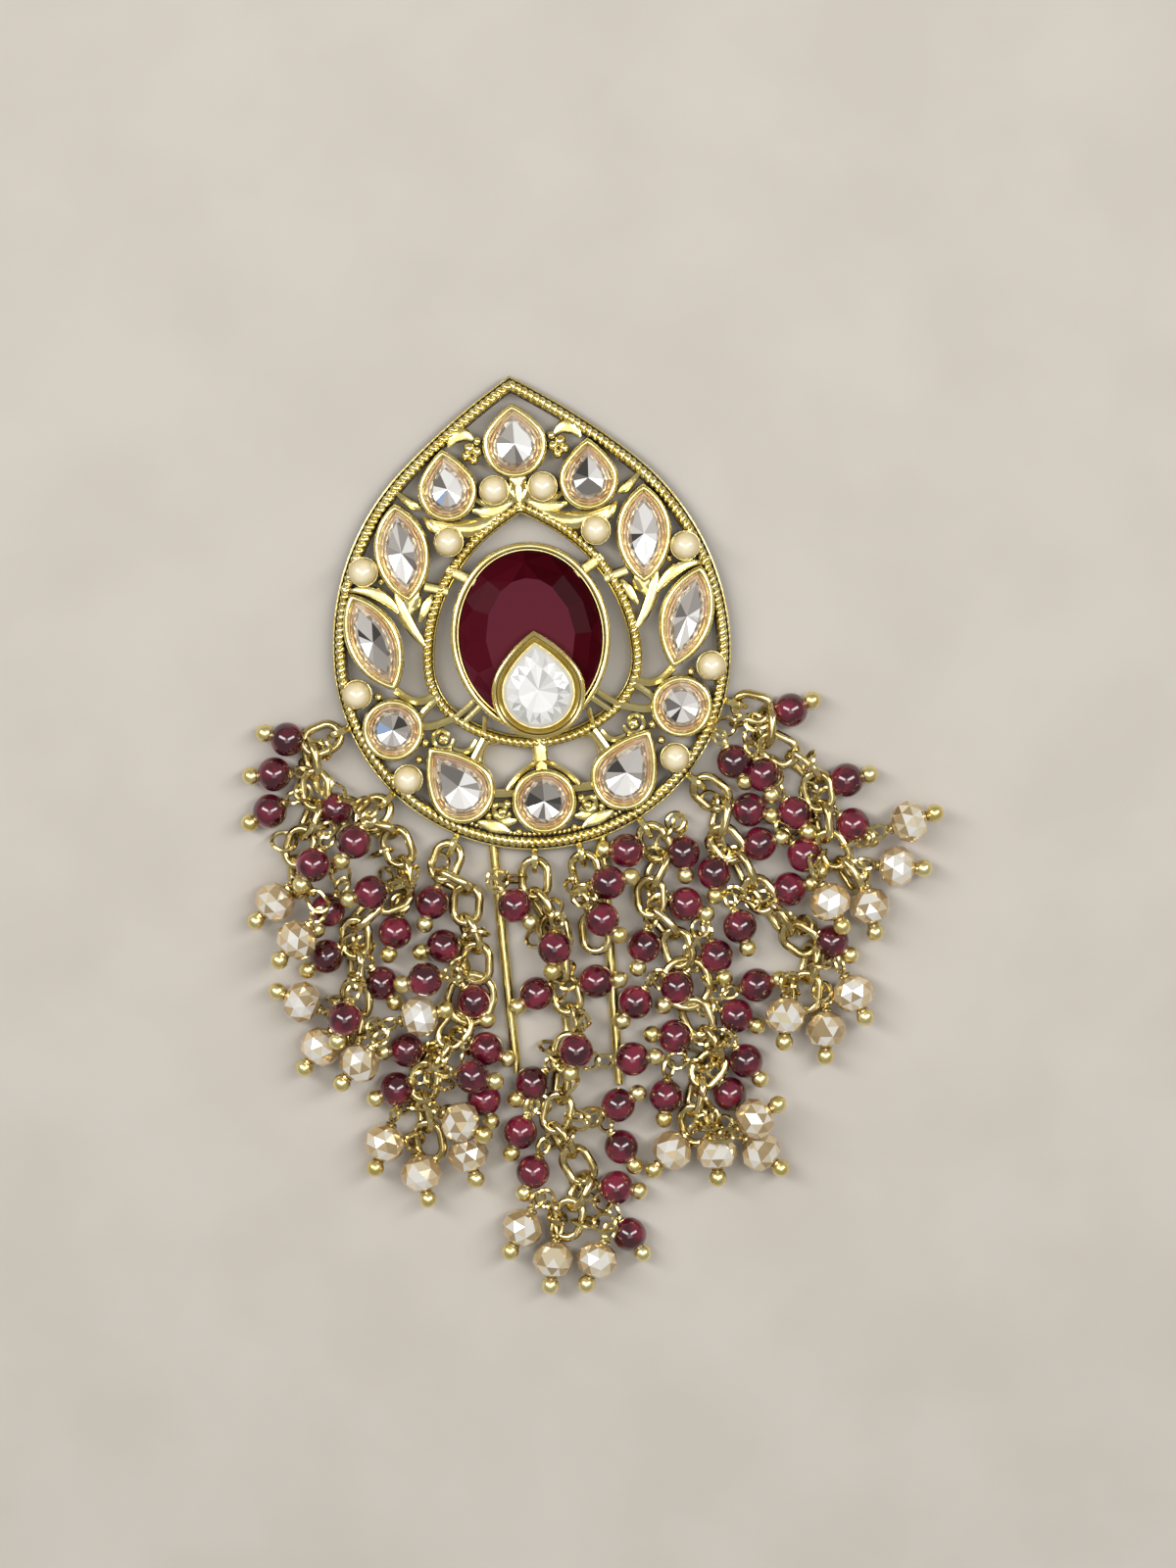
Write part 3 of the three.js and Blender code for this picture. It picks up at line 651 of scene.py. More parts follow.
grain_shape = bmesh.new()
bmesh.ops.create_uvsphere(grain_shape, u_segments=8, v_segments=6, radius=0.5)
grain = as_stamp(grain_shape)
for outline, inset, length, width, height, middle, reach in ROPES:
    line = bmesh.new()
    add_loop(line, outline, inset, middle, length)
    size = Matrix.Diagonal((length * GRAIN_OVERLAP, width, height, 1))
    for edge in line.edges:
        first, second = (vert.co for vert in edge.verts)
        along = second - first
        place = (first + second) / 2
        if reach is None or (abs(place.x) < reach and place.y < 0):
            heading = math.atan2(along.y, along.x) + ROPE_SLANT
            stamp(openwork, grain, Matrix.Translation(place) @ Matrix.Rotation(heading, 4, "Z") @ size)
    line.free()
print("rim, ring and ropes:", len(openwork.faces), "faces")

# %% [markdown]
# A bezel is a wall with a foot, a round lip and a ledge, and a pocket inside it. The rows below are the
# right side. Each row off the axis is stamped again in the mirror.

# %% Cup and settings
BEZEL_SEGMENT = 0.6
CUP_STEPS = [(0, 4.2), *rounded(0.80, CUP_TOP - 4.2), (0, -0.45), (0.14, 0), (0, CUP_SEAT - 3.75)]
SETTING_STEPS = [
    (0, 0.5), (0.10, 0.06), (0, 1.84), *rounded(0.72, 0.40), (0, -0.36), (0.06, 0), (0, SETTING_SEAT - 3.64),
]
SETTINGS = [
    # name, outline, x, y, lean outwards in degrees
    ("top_pear", pear(4.0, 5.2, 11), 0, 23.3, 0),
    ("upper_pear", pear(3.7, 5.3, 11), 8.6, 18.4, 3),
    ("upper_marquise", marquise(3.45, 6.15), 14.8, 11.4, 4),
    ("lower_marquise", marquise(3.3, 6.6), 19.2, 0.9, 20),
    ("side_round", disc(3.85), 17.7, -10.0, 0),
    ("lower_pear", pear(4.1, 6.8, 12), 9.9, -18.1, 33),
    ("bottom_round", disc(4.05), 0, -20.2, 0),
]


def setting_matrix(x, y, lean):
    return Matrix.Translation((x, y, 0)) @ Matrix.Rotation(-math.radians(lean), 4, "Z")


def bezel(outline, base, steps):
    part, loops, _ = loft(outline, levels(0.0, base, steps), BEZEL_SEGMENT)
    fill(part, loops[0])
    fill(part, loops[-1])
    bmesh.ops.recalc_face_normals(part, faces=part.faces)
    return as_stamp(part)


stamp(openwork, bezel(cup_outline, 0.0, CUP_STEPS), Matrix())
for name, outline, x, y, lean in SETTINGS:
    shape = bezel(outline, PLATE_BACK, SETTING_STEPS)
    for side in both_sides(x):
        stamp(openwork, shape, side @ setting_matrix(x, y, lean))
print("with settings:", len(openwork.faces), "faces")

# %% [markdown]
# Each pearl is glued into a small round cup. A cup is a turned shape, so its profile is drawn once as a
# row of points and spun about the upright axis. Its lip stays below the widest part of the pearl, so
# that most of the ball shows.

# %% Pearl cups
PEARLS = [
    # name, x, y
    ("pearl_crown", 2.95, 18.1),
    ("pearl_shoulder", 9.0, 12.3),
    ("pearl_upper_side", 19.7, 9.5),
    ("pearl_lower_side", 21.7, -5.35),
    ("pearl_low", 16.4, -16.2),
]
PEARL_CUP = [
    # radius, height
    (0, PLATE_BACK), (1.7, PLATE_BACK), (1.7, 2.2), (1.8, 2.75), (1.88, 3.05), (1.82, 3.2), (1.66, 3.2),
    (1.55, 3.05), (1.1, 2.8), (0, 2.73),
]
pearl_cup = as_stamp(lathe(PEARL_CUP))
for name, x, y in PEARLS:
    for side in both_sides(x):
        stamp(openwork, pearl_cup, side @ Matrix.Translation((x, y, 0)))
print("with pearl cups:", len(openwork.faces), "faces")

# %% [markdown]
# Tendrils, leaves and scrolls tie the settings to the rim and the ring. Each follows a curve with four
# control points. A leaf is widest in its middle and a bar keeps its width. A scroll is a bar that winds
# into its own centre, and small granules fill the corners.

# %% Tendrils and scrolls
STRUT_MIDDLE = 2.5
STRUT_HALF_HEIGHT = 0.5
STRUT_SPREAD = 1.25
CURVE_POINTS = 9
LEAF_SWELL = 0.7
LEAVES = [
    # width, four control points
    (1.3, (16.0, 7.4), (15.7, 5.0), (14.9, 2.4), (12.6, -0.6)),
    (1.1, (11.6, 6.0), (12.1, 5.2), (12.8, 3.8), (13.4, 2.8)),
    (1.9, (13.4, 7.2), (14.0, 6.0), (14.4, 5.0), (14.7, 3.8)),
    (1.4, (15.8, 4.2), (17.2, 6.2), (19.0, 7.6), (21.6, 7.3)),
    (1.6, (5.0, 24.4), (6.2, 25.6), (7.4, 25.5), (8.0, 23.7)),
    (1.5, (0.6, 16.7), (2.4, 15.6), (4.0, 15.4), (5.8, 15.8)),
    (1.9, (2.6, 15.1), (4.6, 13.3), (7.0, 13.1), (11.4, 15.0)),
    (1.1, (9.6, 13.2), (10.4, 13.8), (11.0, 14.4), (11.8, 15.6)),
    (1.0, (12.0, 16.6), (12.8, 16.8), (13.6, 17.4), (15.2, 19.2)),
    (1.5, (4.6, -23.7), (5.8, -23.1), (7.0, -22.6), (8.4, -22.2)),
    (1.3, (3.6, -22.4), (4.6, -22.6), (5.4, -22.4), (6.2, -21.0)),
    (2.2, (0, 20.4), (0, 19.4), (0, 18.6), (0, 17.4)),
]
BARS = [
    (1.1, (9.6, 6.3), (10.8, 6.6), (11.4, 6.8), (12.4, 7.1)),
    (0.8, (0.0, 16.3), (0.7, 17.0), (1.0, 17.6), (1.2, 18.4)),
    (0.7, (0.9, 18.4), (1.0, 16.4), (3.0, 15.2), (5.2, 17.2)),
    (0.9, (11.8, -6.0), (13.2, -6.8), (14.6, -7.8), (17.0, -5.2)),
    (0.8, (11.7, -6.6), (12.8, -7.2), (13.6, -7.9), (14.4, -8.8)),
    (0.9, (9.6, -9.2), (11.2, -9.2), (12.6, -10.6), (14.4, -9.8)),
    (0.7, (6.8, -8.0), (7.6, -8.7), (8.2, -9.2), (9.2, -10.0)),
    (0.7, (7.6, -7.4), (8.4, -8.1), (9.0, -8.5), (10.0, -9.2)),
    (0.6, (6.4, -9.3), (6.5, -10.0), (6.6, -10.8), (6.7, -11.6)),
    (0.9, (6.7, -12.1), (7.4, -13.2), (7.9, -14.0), (8.7, -15.3)),
    (0.7, (7.6, -12.2), (8.4, -13.5), (9.2, -13.8), (10.6, -13.0)),
    (0.9, (3.6, -19.0), (4.8, -19.0), (5.4, -19.0), (6.8, -18.8)),
    (0.6, (0.0, -15.3), (1.6, -15.8), (3.2, -16.8), (4.4, -18.6)),
    (1.2, (6.2, 7.0), (7.4, 7.8), (8.2, 8.2), (9.5, 9.0)),
    (0.5, (20.6, -13.4), (18.6, -16.4), (16.4, -18.6), (13.5, -20.6)),
    (1.5, (0, -12.4), (0, -13.8), (0, -15.2), (0, -16.6)),
    (1.0, (0, 18.4), (0, 17.6), (0, 16.8), (0, 15.4)),
]
SCROLLS = [
    # x, y, radius, heading of its open end in degrees
    (11.8, -11.5, 1.5, 190),
    (5.4, -21.0, 1.2, 200),
]
GRANULES = [
    # x, y, radius
    (4.6, 22.9, 0.75), (5.5, 23.4, 0.8), (6.0, 22.5, 0.7), (5.1, 21.9, 0.65), (4.5, 24.2, 0.6),
    (14.0, -12.0, 0.6), (11.7, -11.6, 0.65), (11.0, -13.1, 0.45),
    (4.5, -20.3, 0.65), (6.2, -20.4, 0.6), (5.3, -21.2, 0.6), (7.0, -21.5, 0.55), (3.4, -23.8, 0.5),
    (19.2, -5.9, 0.6), (14.9, -14.0, 0.55), (18.3, -15.9, 0.5), (17.6, 8.2, 0.5), (22.2, 7.6, 0.55),
]
SCROLL_TURN = 500
SCROLL_POINTS = 18
SCROLL_WIDTH = 0.7
SCROLL_CLOSING = 0.75
SCROLL_RISE = 0.2


def tendril(width, controls, swell):
    corners = [Vector((x, y, STRUT_MIDDLE)) for x, y in controls]
    points = interpolate_bezier(*corners, CURVE_POINTS)
    shares = [1 - swell + swell * math.sin(math.pi * i / (CURVE_POINTS - 1)) for i in range(CURVE_POINTS)]
    across = [STRUT_SPREAD * width / 2 * share for share in shares]
    up = [STRUT_HALF_HEIGHT * (0.6 + 0.4 * share) for share in shares]
    return as_stamp(bar(points, across, up))


def scroll(radius, heading):
    points = []
    for i in range(SCROLL_POINTS):
        share = i / (SCROLL_POINTS - 1)
        arm = direction(heading + SCROLL_TURN * share) * radius * (1 - SCROLL_CLOSING * share)
        points.append(arm + UP * (STRUT_MIDDLE + SCROLL_RISE * share))
    return as_stamp(bar(points, [SCROLL_WIDTH / 2] * SCROLL_POINTS, [STRUT_HALF_HEIGHT] * SCROLL_POINTS))


for rows, swell in ((LEAVES, LEAF_SWELL), (BARS, 0.0)):
    for width, *controls in rows:
        shape = tendril(width, controls, swell)
        for side in both_sides(max(x for x, y in controls)):
            stamp(openwork, shape, side)
for x, y, radius, heading in SCROLLS:
    shape = scroll(radius, heading)
    for side in both_sides(x):
        stamp(openwork, shape, side @ Matrix.Translation((x, y, 0)))
for x, y, radius in GRANULES:
    size = Matrix.Diagonal((2 * radius, 2 * radius, 2 * radius, 1))
    for side in both_sides(x):
        stamp(openwork, grain, side @ Matrix.Translation((x, y, STRUT_MIDDLE)) @ size)
print("with tendrils and scrolls:", len(openwork.faces), "faces")

# %% [markdown]
# Eight upright eyelets on the lower rim carry the fringe. An eyelet is a spun ring that is stood on edge
# and turned to point outwards at its place on the rim.

# %% Eyelets, and the finished plate
CHAIN_HEIGHT = 2.2
EYELET_REACH = 1.2
EYELET_WIDTH = 2.7
EYELET_WIRE = 0.8
EYELET_ANGLES = (-72, -49, -27, -4, 9, 28, 47, 71)


def eyelet_place(angle, reach):
    return RIM_CENTRE + direction(angle - RIGHT_ANGLE) * (RIM_RADIUS + reach) + UP * CHAIN_HEIGHT


eyelet = as_stamp(ring(EYELET_WIDTH, EYELET_WIDTH, EYELET_WIRE))
for angle in EYELET_ANGLES:
    turn = Matrix.Rotation(math.radians(angle - RIGHT_ANGLE), 4, "Z") @ Matrix.Rotation(math.pi / 2, 4, "X")
    stamp(openwork, eyelet, Matrix.Translation(eyelet_place(angle, EYELET_REACH)) @ turn)
make_piece("openwork_plate", openwork, plate_gold, ["plate"])

# %% [markdown]
# The drop's bezel stands over the lower half of the red stone, with a round lip and a slope down to its
# stone. Two small feet of solder carry it down to the lip of the red stone's cup.

# %% Drop bezel
DROP_STEPS = [
    (0, 1.8), *rounded(0.60, DROP_TOP - 7.2), (0.08, -0.25), (0.55, -0.35), (0.03, -0.20),
    (0, DROP_SEAT - 6.40),
]
DROP_FEET = [(3.6, -10.24), (-3.2, -10.43)]
FOOT_RADIUS = 0.45
FOOT_SINK = 0.1
FOOT_RISE = 0.05

drop_bezel = bmesh.new()
stamp(drop_bezel, bezel(drop_outline, DROP_BACK, DROP_STEPS), Matrix.Translation(DROP_PLACE))
for x, y in DROP_FEET:
    ends = [Vector((x, y, CUP_TOP - FOOT_SINK)), Vector((x, y, DROP_BACK + FOOT_RISE))]
    stamp_once(drop_bezel, bar(ends, [FOOT_RADIUS] * 2, [FOOT_RADIUS] * 2))
make_piece("drop_bezel", drop_bezel, plate_gold, ["drop_setting"])

# %% [markdown]
# ## Cut stones
#
# A clear stone is a loft too, narrow at the seat, wide at the girdle and drawn in twice for its crown.
# Poking the faces of the crown raises the small facets. The table, which is the flat top, is poked
# downwards, because through it one sees the facets of the back run to a point. Each facet gets its tone
# here, with some chance in it.

# %% Clear stones
STONE_INSET = 0.88
STONE_SEAT = 2.7
STONE_GIRDLE = 3.9
STONE_TAPER = 1.1
STONE_CROWN = [(0.40, 0.26), (0.62, 0.74)]
STONE_STEP = 1.8
STONE_DIP = 0.55
FACET_RISE = 0.06
# Tones of painted reflection, one for each sector of a stone's table.
FOIL_REFLECTION_TONES = (0.10, 0.30, 0.48, 0.60, 0.72, 0.85, 0.95, 1.0)
FOIL_SECTORS = 8
FLASH = 0.0
FLASH_SHARE = 0.3
luck = random.Random(11)


def give_tones(bm, tone_of, edge_of):
    tone = bm.faces.layers.float.new("tone")
    edge = bm.faces.layers.float.new("edge")
    for face in bm.faces:
        face[tone] = min(1.0, max(0.0, tone_of(face)))
        face[edge] = edge_of(face)


def any_tone(face):
    return luck.random()


def cut_stone(outline, inset, segment, seat, girdle, crown, dip):
    """crown holds the (inset, rise) of the edge facets and of the main ones."""
    rows = [(inset + STONE_TAPER, seat)] + levels(inset, girdle, crown)
    bm, loops, (walls, edge_facets, main_facets) = loft(outline, rows, segment)
    fill(bm, loops[0])
    table = fill(bm, loops[-1])
    bmesh.ops.recalc_face_normals(bm, faces=bm.faces)
    bmesh.ops.poke(bm, faces=main_facets, offset=FACET_RISE)
    table_facets = bmesh.ops.poke(bm, faces=[table], offset=-dip)["faces"]
    bm.faces.index_update()
    return bm, {face.index for face in walls + edge_facets}, {face.index for face in table_facets}


def foil_reflection_tone(table_facets):
    """Painted reflection: facets of the table share their tone by sectors, as the back's facets do. The rest
    vary by chance.
    """
    sectors = [luck.choice(FOIL_REFLECTION_TONES) for _ in range(FOIL_SECTORS)]
    if luck.random() < FLASH_SHARE:
        sectors[luck.randrange(FOIL_SECTORS)] = FLASH
    slant = luck.random()

    def tone_of(face):
        middle = face.calc_center_median()
        turn = (math.atan2(middle.y, middle.x) / (2 * math.pi) + slant) % 1
        tone = sectors[int(turn * FOIL_SECTORS)]
        return tone if face.index in table_facets else 0.3 * tone + luck.uniform(0.15, 0.75)
    return tone_of


def peach_edge(rim_facets, table_facets):
    def edge_of(face):
        if face.index in rim_facets:
            return luck.uniform(0.6, 1.0)
        return 0.0 if face.index in table_facets else luck.uniform(0.0, 0.4)
    return edge_of


for name, outline, x, y, lean in SETTINGS:
    for side, suffix in zip(both_sides(x), ("" if x == 0 else "_right", "_left")):
        part, rim_facets, table_facets = cut_stone(
            outline, STONE_INSET, STONE_STEP, STONE_SEAT, STONE_GIRDLE, STONE_CROWN, STONE_DIP,
        )
        give_tones(part, foil_reflection_tone(table_facets), peach_edge(rim_facets, table_facets))
        stone = bmesh.new()
        stamp_once(stone, part, side @ setting_matrix(x, y, lean), smooth=False)
        make_piece(name + suffix + "_cut", stone, clear_foil_reflections, [name + suffix])

# %% [markdown]
# The red stone is larger and plainer: a wide table and a row of long facets round it. Its loops are
# drawn on the cup's outline, and a convex hull spans the facets between them. The white drop is cut as
# the clear stones are, in milky glass.

# %% Red stone and white drop
RUBY_LOOPS = [
    # inset from the cup's outline, length of its steps, height
    (5.0, 4.0, 1.5),
    (1.0, 3.6, 3.4),
    (1.0, 3.6, 4.0),
    (2.3, 5.2, 4.72),
    (4.3, 4.6, 5.1),
]
FLAT = math.radians(1)
FACING_UP = 0.99
# The tone of the red stone's table, a painted reflection.
TABLE_REFLECTION_TONE = 0.85
WHITE_INSET = 1.4
WHITE_STEP = 2.0
WHITE_SEAT = DROP_SEAT + 0.3
WHITE_GIRDLE = DROP_TOP - 0.4
WHITE_CROWN = [(0.4, 0.25), (1.5, 0.6)]
WHITE_DIP = 0.25


def ruby_reflection_tone(face):
    """Painted light: the table is lightest, as a painted reflection, then the facets at the lower left."""
    if face.normal.z > FACING_UP:
        return TABLE_REFLECTION_TONE
    middle = face.calc_center_median()
    return 0.40 - 0.035 * middle.x - 0.025 * middle.y + luck.uniform(-0.15, 0.15)


ruby = bmesh.new()
for inset, segment, height in RUBY_LOOPS:
    add_loop(ruby, cup_outline, inset, height, segment)
bmesh.ops.delete(ruby, geom=ruby.edges[:], context="EDGES_FACES")
bmesh.ops.convex_hull(ruby, input=ruby.verts)
bmesh.ops.dissolve_limit(ruby, angle_limit=FLAT, verts=ruby.verts, edges=ruby.edges)
bmesh.ops.recalc_face_normals(ruby, faces=ruby.faces)
give_tones(ruby, ruby_reflection_tone, lambda face: 0.0)
for face in ruby.faces:
    face.smooth = False
make_piece("ruby_cut", ruby, ruby_glass, ["ruby_stone"])

part, rim_facets, _ = cut_stone(
    drop_outline, WHITE_INSET, WHITE_STEP, WHITE_SEAT, WHITE_GIRDLE, WHITE_CROWN, WHITE_DIP,
)
give_tones(part, any_tone, lambda face: float(face.index in rim_facets))
white_drop = bmesh.new()
stamp_once(white_drop, part, Matrix.Translation(DROP_PLACE), smooth=False)
make_piece("white_drop_cut", white_drop, milky_stone, ["drop_stone"])

# %% [markdown]
# A pearl is a ball, so a sphere with enough faces for a smooth edge is right for it, and its lustre,
# painted light that is ivory on top and darker below, comes from the finish. The rows are those of the
# cups, so each pearl lies in its own.

# %% Pearls
for name, x, y in PEARLS:
    for side, suffix in zip(both_sides(x), ("_right", "_left")):
        ball = bmesh.new()
        place = side @ Matrix.Translation((x, y, PEARL_HEIGHT))
        bmesh.ops.create_uvsphere(ball, u_segments=24, v_segments=14, radius=PEARL_RADIUS, matrix=place)
        bmesh.ops.recalc_face_normals(ball, faces=ball.faces)
        for face in ball.faces:
            face.smooth = True
        make_piece(name + suffix + "_ball", ball, pearl_coat, [name + suffix])

# %% [markdown]
# ## The hair fork
#
# The fork is one thick wire behind the plate: two legs and a bow. A smooth curve passes through the
# points of its route, and a bar follows the curve. Its ends are drawn in a little, as a cut and rounded
# wire is.

# %% Fork
FORK_RADIUS = 0.65
FORK_ROUTE = [
    (6.3, -56.2), (6.5, -40), (6.8, -24), (7.2, -18), (7.6, -14.8), (6.8, -12.7), (4.4, -12.4), (0, -12.9),
    (-4.4, -12.4), (-6.8, -12.7), (-7.6, -14.8), (-7.2, -18), (-6.8, -24), (-6.5, -40), (-6.2, -53.8),
]
FORK_STEPS = 6
FORK_END_SHARE = 0.75


def smooth_route(points, steps):
    """Points on a curve through all the given ones. The handles follow the neighbours of each point."""
    padded = [points[0]] + points + [points[-1]]
    found = [points[0]]
    for before, start, end, after in zip(padded, padded[1:], padded[2:], padded[3:]):
        handles = start + (end - before) / 6, end - (after - start) / 6
        found += interpolate_bezier(start, *handles, end, steps + 1)[1:]
    return found


fork_line = smooth_route([Vector((x, y, FORK_RADIUS)) for x, y in FORK_ROUTE], FORK_STEPS)
fork_radii = [FORK_RADIUS] * len(fork_line)
fork_radii[0] = fork_radii[-1] = FORK_END_SHARE * FORK_RADIUS
fork = bmesh.new()
stamp_once(fork, bar(fork_line, fork_radii, fork_radii, sides=12))
make_piece("fork_wire", fork, fork_gold, ["hair_fork"])

# %% [markdown]
# ## The fringe
#
# Eight chains hang on the rim's eyelets, and each carries drops: a wine-red bead or a crystal on a pin
# with a ball head. They lie in a loose heap, so each drop has a place and a heading of its own. The rows
# are the frame's rows: the points that a chain passes, and each drop's place, heading and, where it lies
# on others, level.

# %% Rows of the strands
BEAD_RADIUS = 2.14
CRYSTAL_RADIUS = 2.6
LEVEL_HEIGHT = 3.2


def drop_row(x, y, heading, level, radius):
    return {
        "place": Vector((x, y, radius + level * LEVEL_HEIGHT)),
        "pin": direction(heading),
        "radius": radius,
    }


def maroon(x, y, heading, level=0):
    return drop_row(x, y, heading, level, BEAD_RADIUS)


def crystal(x, y, heading, level=0):
    return drop_row(x, y, heading, level, CRYSTAL_RADIUS)


STRANDS = [
    # number of the big link or none, points of the chain, drops
    (
        None,
        [(-26.5, -14), (-30, -16), (-27.5, -19), (-29.5, -21.5), (-31, -24.5), (-31.5, -27.5), (-30.5, -31)],
        [
            maroon(-28.5, -11.5, 160), maroon(-32.5, -14, 180), maroon(-33.5, -18, 205),
            maroon(-24, -19.5, 290), maroon(-23.5, -23, 232, 1), maroon(-28.5, -25.5, 235, 1),
            maroon(-27.5, -32, 235), crystal(-34, -30, 220), crystal(-31.5, -34.5, 225, 1),
        ],
    ),
    (
        None,
        [
            (-19.5, -20.5), (-18.5, -24.5), (-17.5, -27.5), (-18, -31.5), (-21.5, -31), (-24.5, -33.5),
            (-25, -36.5), (-24, -38.5), (-25, -41), (-25, -43.5), (-26, -48.6),
        ],
        [
            maroon(-22, -29.5, 192, 1), maroon(-20, -36.5, 250), maroon(-28.5, -37, 211),
            maroon(-21, -40, 300), maroon(-26.5, -45, 247, 1), crystal(-31.5, -42.5, 152),
            crystal(-30, -48, 228), crystal(-24, -48, 224), crystal(-18.5, -45, 10),
        ],
    ),
    (
        5,
        [
            (-12, -27.5), (-10, -31), (-11, -34.5), (-9.5, -38.5), (-10.5, -43.5), (-13, -48), (-16.5, -50),
            (-18, -54), (-18, -58), (-17.5, -60.5), (-17.5, -63.4),
        ],
        [
            maroon(-13.5, -30.5, 247), maroon(-14, -37, 190), maroon(-16.5, -41.5, 187, 1),
            maroon(-10.8, -44.5, 300), maroon(-17.5, -49.5, 180), maroon(-20.5, -54.5, 200),
            maroon(-9.5, -50, 330), maroon(-11.5, -53, 344, 1), maroon(-10.5, -56.5, 283),
            crystal(-23, -60.5, 245), crystal(-18.5, -63.5, 280), crystal(-13.5, -58.5, 326, 1),
            crystal(-13, -63, 283),
        ],
    ),
    (
        None,
        [
            (-1.2, -29.5), (-0.6, -32), (-0.4, -34.5), (0.2, -38.5), (0.3, -42), (1, -46), (1, -50),
            (-0.5, -53.5), (-1, -57), (-2, -59), (-2.5, -62.5), (0.5, -64.5), (2.5, -66), (0, -68.5),
            (-2.2, -74.6),
        ],
        [
            maroon(-5, -32.5, 309), maroon(-0.2, -38, 259, 1), maroon(6.4, -43, 0), maroon(-3, -44, 210),
            maroon(1.3, -51, 251, 1), maroon(9, -52, 0), maroon(-4, -55, 220), maroon(6, -59.5, 26),
            maroon(-6, -61, 242), maroon(6.5, -64.5, 300), maroon(-5, -66, 243), maroon(5.5, -69, 347),
            maroon(5, -73, 300), crystal(-7, -73, 238), crystal(-3, -76.5, 259), crystal(2.5, -76.5, 242),
        ],
    ),
    (
        None,
        [(4.9, -35.2), (4.9, -39.2)],
        [maroon(7, -31.5, 10), maroon(6, -34.5, 312, 1)],
    ),
    (
        5,
        [
            (12, -29.5), (12, -33), (12, -35.5), (14.5, -38), (15.5, -41), (14.5, -43.5), (16, -47),
            (17.5, -51), (19, -53.5), (16.5, -55.5), (15, -58.5), (15, -61.5), (15.6, -64.2),
        ],
        [
            maroon(9, -27.6, 172), maroon(14.5, -28, 272), maroon(16, -34, 330), maroon(10, -40, 250),
            maroon(14.7, -44.2, 230), maroon(9.5, -45.5, 230), maroon(20, -43, 285), maroon(22.7, -44.2, 10),
            maroon(22.3, -48.3, 330), maroon(13, -51, 170), maroon(22.3, -54, 303), maroon(20, -58, 300),
            maroon(12, -58, 260), crystal(12.8, -64.5, 222), crystal(17, -63.5, 268),
            crystal(20.5, -65, 315), crystal(22.5, -61, 27, 1),
        ],
    ),
    (
        None,
        [
            (18.7, -24), (21, -26), (22.6, -28), (24.6, -33), (25, -35), (28, -36), (28.5, -39),
            (31.4, -40.6), (31.2, -43), (30, -45.5), (29.9, -48.8),
        ],
        [
            maroon(25, -23.9, 340), maroon(19, -29.7, 268), maroon(26, -28.6, 12), maroon(28.2, -31.8, 10),
            maroon(22, -38, 285), maroon(32.8, -41.3, 320), crystal(27, -48.6, 263),
            crystal(31.8, -50.5, 265), crystal(35.4, -46.3, 292),
        ],
    ),
    (
        None,
        [
            (26.4, -13.7), (28, -16), (30.4, -17), (33, -19.6), (34.5, -21.6), (33.7, -24), (33.2, -26.3),
            (34.5, -28.4), (35.5, -30.5), (37.6, -34.4),
        ],
        [
            maroon(29.4, -12.2, 20), maroon(22.1, -20.1, 295), maroon(26.5, -19.5, 288),
            maroon(30.5, -20.5, 301), maroon(36.6, -20.9, 9), maroon(38.7, -25.9, 319),
            maroon(32.2, -28.6, 310), crystal(33, -33.7, 292), crystal(37.6, -35.2, 278),
            crystal(42, -32.1, 351), crystal(43.1, -26.7, 14),
        ],
    ),
]

# %% [markdown]
# A chain is walked along its points in short steps. Each time it is one link's pitch from the last
# joint, a new joint is set. A link then lies between two joints, rolled about its own length by turns,
# as the links of a real chain are.

# %% Links
LINK_PITCH = 3.7
LINK_WIDTH = 4.4
BIG_LINK_PITCH = 5.2
BIG_LINK_WIDTH = 6.6
LINK_WIRE = 1.1
LINK_BITE = 0.2
LINK_ROLLS = (15, 65)
WALK_STEP = 0.1
HOOK_SHARE = math.cos(math.pi / 6)


def point_along(route, distance):
    for start, end in zip(route, route[1:]):
        length = (end - start).length
        if distance <= length:
            return start.lerp(end, distance / length)
        distance -= length
    return route[-1].copy()


def route_length(route):
    return sum((end - start).length for start, end in zip(route, route[1:]))


def chain_joints(angle, big_link, points):
    hold = EYELET_REACH + (LINK_WIRE - LINK_BITE) / 2
    route = [eyelet_place(angle, hold), eyelet_place(angle, hold + LINK_PITCH + WALK_STEP)]
    route += [Vector((x, y, CHAIN_HEIGHT)) for x, y in points]
    joints = [route[0]]
    for step in range(math.ceil(route_length(route) / WALK_STEP)):
        pitch = BIG_LINK_PITCH if len(joints) - 1 == big_link else LINK_PITCH
        here = point_along(route, step * WALK_STEP)
        if (here - joints[-1]).length >= pitch:
            joints.append(here)
    return joints


def ring_frame(start, end, roll):
    """The matrix of a ring that runs from start to end along its X axis, rolled about it."""
    along = (end - start).normalized()
    side = UP.cross(along)
    side = side.normalized() if side.length > 0.01 else Vector((0, 1, 0))
    across = side * math.cos(roll) + along.cross(side) * math.sin(roll)
    turn = Matrix((along, across, along.cross(across))).transposed().to_4x4()
    return Matrix.Translation((start + end) / 2) @ turn


def chain_links(angle, big_link, points):
    joints = chain_joints(angle, big_link, points)
    links = []
    for i, (start, end) in enumerate(zip(joints, joints[1:])):
        is_big = i == big_link
        roll = 0 if is_big else math.radians(LINK_ROLLS[i % 2])
        across = (BIG_LINK_WIDTH if is_big else LINK_WIDTH) - LINK_WIRE
        links.append({
            "matrix": ring_frame(start, end, roll),
            "length": (end - start).length + LINK_WIRE - LINK_BITE,
            "across": across,
            "is_big": is_big,
            "middle": (start + end) / 2,
        })
    return links


chains = [
    chain_links(angle, big_link, points) for angle, (big_link, points, _) in zip(EYELET_ANGLES, STRANDS)
]
print("links:", [len(chain) for chain in chains])

